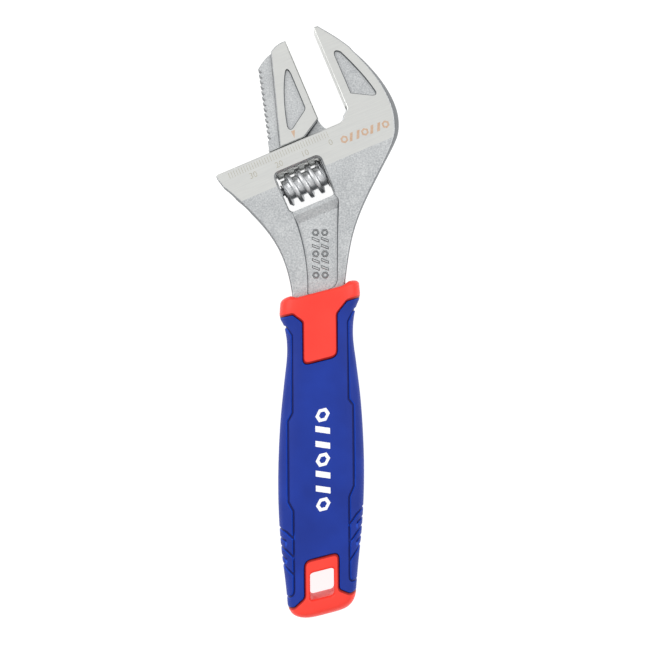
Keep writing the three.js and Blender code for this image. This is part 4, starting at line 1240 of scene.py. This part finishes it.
def pattern_row(length, tall):
    """A row of hexagon rings and slanted bars."""
    marks = bmesh.new()
    pitch = length / ROW_SHAPES
    for i in range(ROW_SHAPES):
        middle = pitch * (i + 0.5)
        if i % 3 == 0:
            add_shape(marks, hexagon((middle, 0), tall / 2), hexagon((middle, 0), tall / 4))
            continue
        lean, bar = tall / 5, pitch / 5
        low, high = (middle - lean, -tall / 2), (middle + lean, tall / 2)
        corners = ((low, -1), (low, 1), (high, 1), (high, -1))
        add_shape(marks, [(x + side * bar, y) for (x, y), side in corners])
    return marks


def scale_marks():
    """A tick for each millimetre of the opening, and a number for each ten."""
    marks = bmesh.new()
    for opening in range(FULL_OPENING + 1):
        u = SCALE_ZERO - opening
        half = TICK_WIDTH / 2
        add_shape(marks, rectangle(u - half, TICK_BOTTOM, u + half, TICK_TOP))
        if opening % 10 == 0:
            add_number(marks, opening, u, NUMBER_FOOT)
    return placed(marks, Matrix.Translation((0, 0, HEAD_HALF + INK)))


def head_pattern():
    start = Matrix.Translation((*HEAD_PRINT_START, HEAD_HALF + INK))
    return placed(pattern_row(*HEAD_PRINT_SIZE), start @ Matrix.Rotation(HEAD_PRINT_TURN, 4, "Z"))


def pointer():
    marks = bmesh.new()
    add_shape(marks, POINTER)
    return placed(marks, Matrix.Translation((0, 0, JAW_HALF + INK)))


def read_downwards(x, top, z):
    """Turns a row so that it runs down the handle from a height."""
    return Matrix.Translation((x, top, z)) @ Matrix.Rotation(-math.pi / 2, 4, "Z")


def grip_pattern():
    """The print on the sleeve, read from the side and laid over its face."""
    marks = placed(pattern_row(*SLEEVE_PRINT_SIZE), read_downwards(*SLEEVE_PRINT_START, 0))
    for corner in marks.verts:
        x, height = corner.co.xy
        surface = drape(PATTERN_HALF * x / half_width(height), height, 0)
        corner.co = surface + Vector((0, 0, INK))
    return marks


def neck_relief(x):
    """A row of raised shapes on the floor of the neck's panel."""
    root = 0.1
    marks = placed(pattern_row(*RELIEF_SIZE), read_downwards(x, RELIEF_TOP, PANEL_FLOOR - root))
    raised = bmesh.ops.extrude_face_region(marks, geom=marks.faces[:])["geom"]
    corners = of_type(bmesh.types.BMVert, raised)
    bmesh.ops.translate(marks, verts=corners, vec=(0, 0, root + RELIEF))
    bmesh.ops.recalc_face_normals(marks, faces=marks.faces)
    tops = [edge for edge in marks.edges if set(edge.verts) <= set(corners)]
    rims = [edge for edge in tops if len(edge.link_faces) == 2 and edge.calc_face_angle() > 1]
    bevelled(marks, rims, RELIEF_CHAMFER, 1)
    return marks


def relief_finish(face):
    """The chamfered rims get the flanks' darker steel as painted shade, so that the shapes stand out."""
    return 2 if abs(face.normal.z) < RELIEF_SLOPE else 1


def print_piece(name, marks, matrix, ink, body):
    for face in marks.faces:
        face.normal_update()
        if face.normal.z < 0:
            face.normal_flip()
    return finish_piece(name, marks, matrix, [ink], body)


for side, x in RELIEF_ROWS.items():
    name = f"neck_relief_{side}"
    finish_piece(name, neck_relief(x), HANDLE, steels, "frame", finish_of=relief_finish)
print_piece("opening_scale", scale_marks(), HEAD, laser_mark, "frame")
print_piece("head_print", head_pattern(), HEAD, copper_ink, "frame")
print_piece("jaw_pointer", pointer(), HEAD, copper_ink, "jaw")
print_piece("sleeve_print", grip_pattern(), HANDLE, white_ink, "frame")


# ---- Floor, light and camera ----


def floor():
    """A pale floor lit from below, so that shadows stay faint and holes show white."""
    sheet = bmesh.new()
    bmesh.ops.create_grid(sheet, x_segments=1, y_segments=1, size=FLOOR_HALF)
    piece = as_object(sheet, "floor")
    material, tree, shader, where = new_material("opal_acrylic_light_table")
    cloud = noise(tree, where, FLOOR_CLOUD)
    colour = ramp(tree, cloud, [(0.3, FLOOR_DARK), (0.7, FLOOR_LIGHT)])
    feed(tree, shader, Base_Color=colour, Roughness=0.8)
    feed(tree, shader, Emission_Color=linear("#FFFFFF"), Emission_Strength=FLOOR_GLOW)
    piece.data.materials.append(material)


def softbox(name, place, size, watts):
    """A rectangular lamp that points at the middle of the floor."""
    light = bpy.data.lights.new(name, "AREA")
    light.shape = "RECTANGLE"
    light.size, light.size_y = size
    light.energy = watts
    lamp = bpy.data.objects.new(name, light)
    lamp.location = place
    lamp.rotation_euler = (-Vector(place)).to_track_quat("-Z", "Y").to_euler()
    bpy.context.scene.collection.objects.link(lamp)


def dark_flag():
    """A dark band low round the set, seen only in reflections, where it darkens the steel's sides."""
    band = bmesh.new()
    bmesh.ops.create_cone(
        band, segments=48, radius1=FLAG_RADIUS, radius2=FLAG_RADIUS, depth=FLAG_HEIGHT, cap_ends=False,
    )
    bmesh.ops.translate(band, verts=band.verts, vec=(0, 0, FLAG_HEIGHT / 2))
    piece = as_object(band, "dark_flag")
    material, tree, shader, where = new_material("black_felt")
    nap = noise(tree, where, FELT_NAP)
    feed(tree, shader, Base_Color=ramp(tree, nap, [(0.3, "#0C0C0C"), (0.7, "#161616")]), Roughness=1.0)
    piece.data.materials.append(material)
    piece.visible_camera = piece.visible_diffuse = piece.visible_shadow = False


def studio():
    world = bpy.data.worlds.new("studio")
    world.use_nodes = True
    feed(world.node_tree, world.node_tree.nodes["Background"], Color=linear("#FFFFFF"), Strength=WORLD_LIGHT)
    bpy.context.scene.world = world
    for lamp in SOFTBOXES:
        softbox(*lamp)
    dark_flag()
    bpy.context.scene.view_settings.view_transform = "Standard"


def camera():
    view = bpy.data.cameras.new("camera")
    view.angle = 2 * math.atan(VIEW_HALF / CAMERA_HEIGHT)
    eye = bpy.data.objects.new("camera", view)
    eye.location = butt_middle + Vector((*VIEW_MIDDLE, HEAD_HALF + CAMERA_HEIGHT)) * MM
    eye.rotation_euler = (0, 0, CAMERA_ROLL)
    bpy.context.scene.collection.objects.link(eye)
    bpy.context.scene.camera = eye


floor()
studio()
camera()
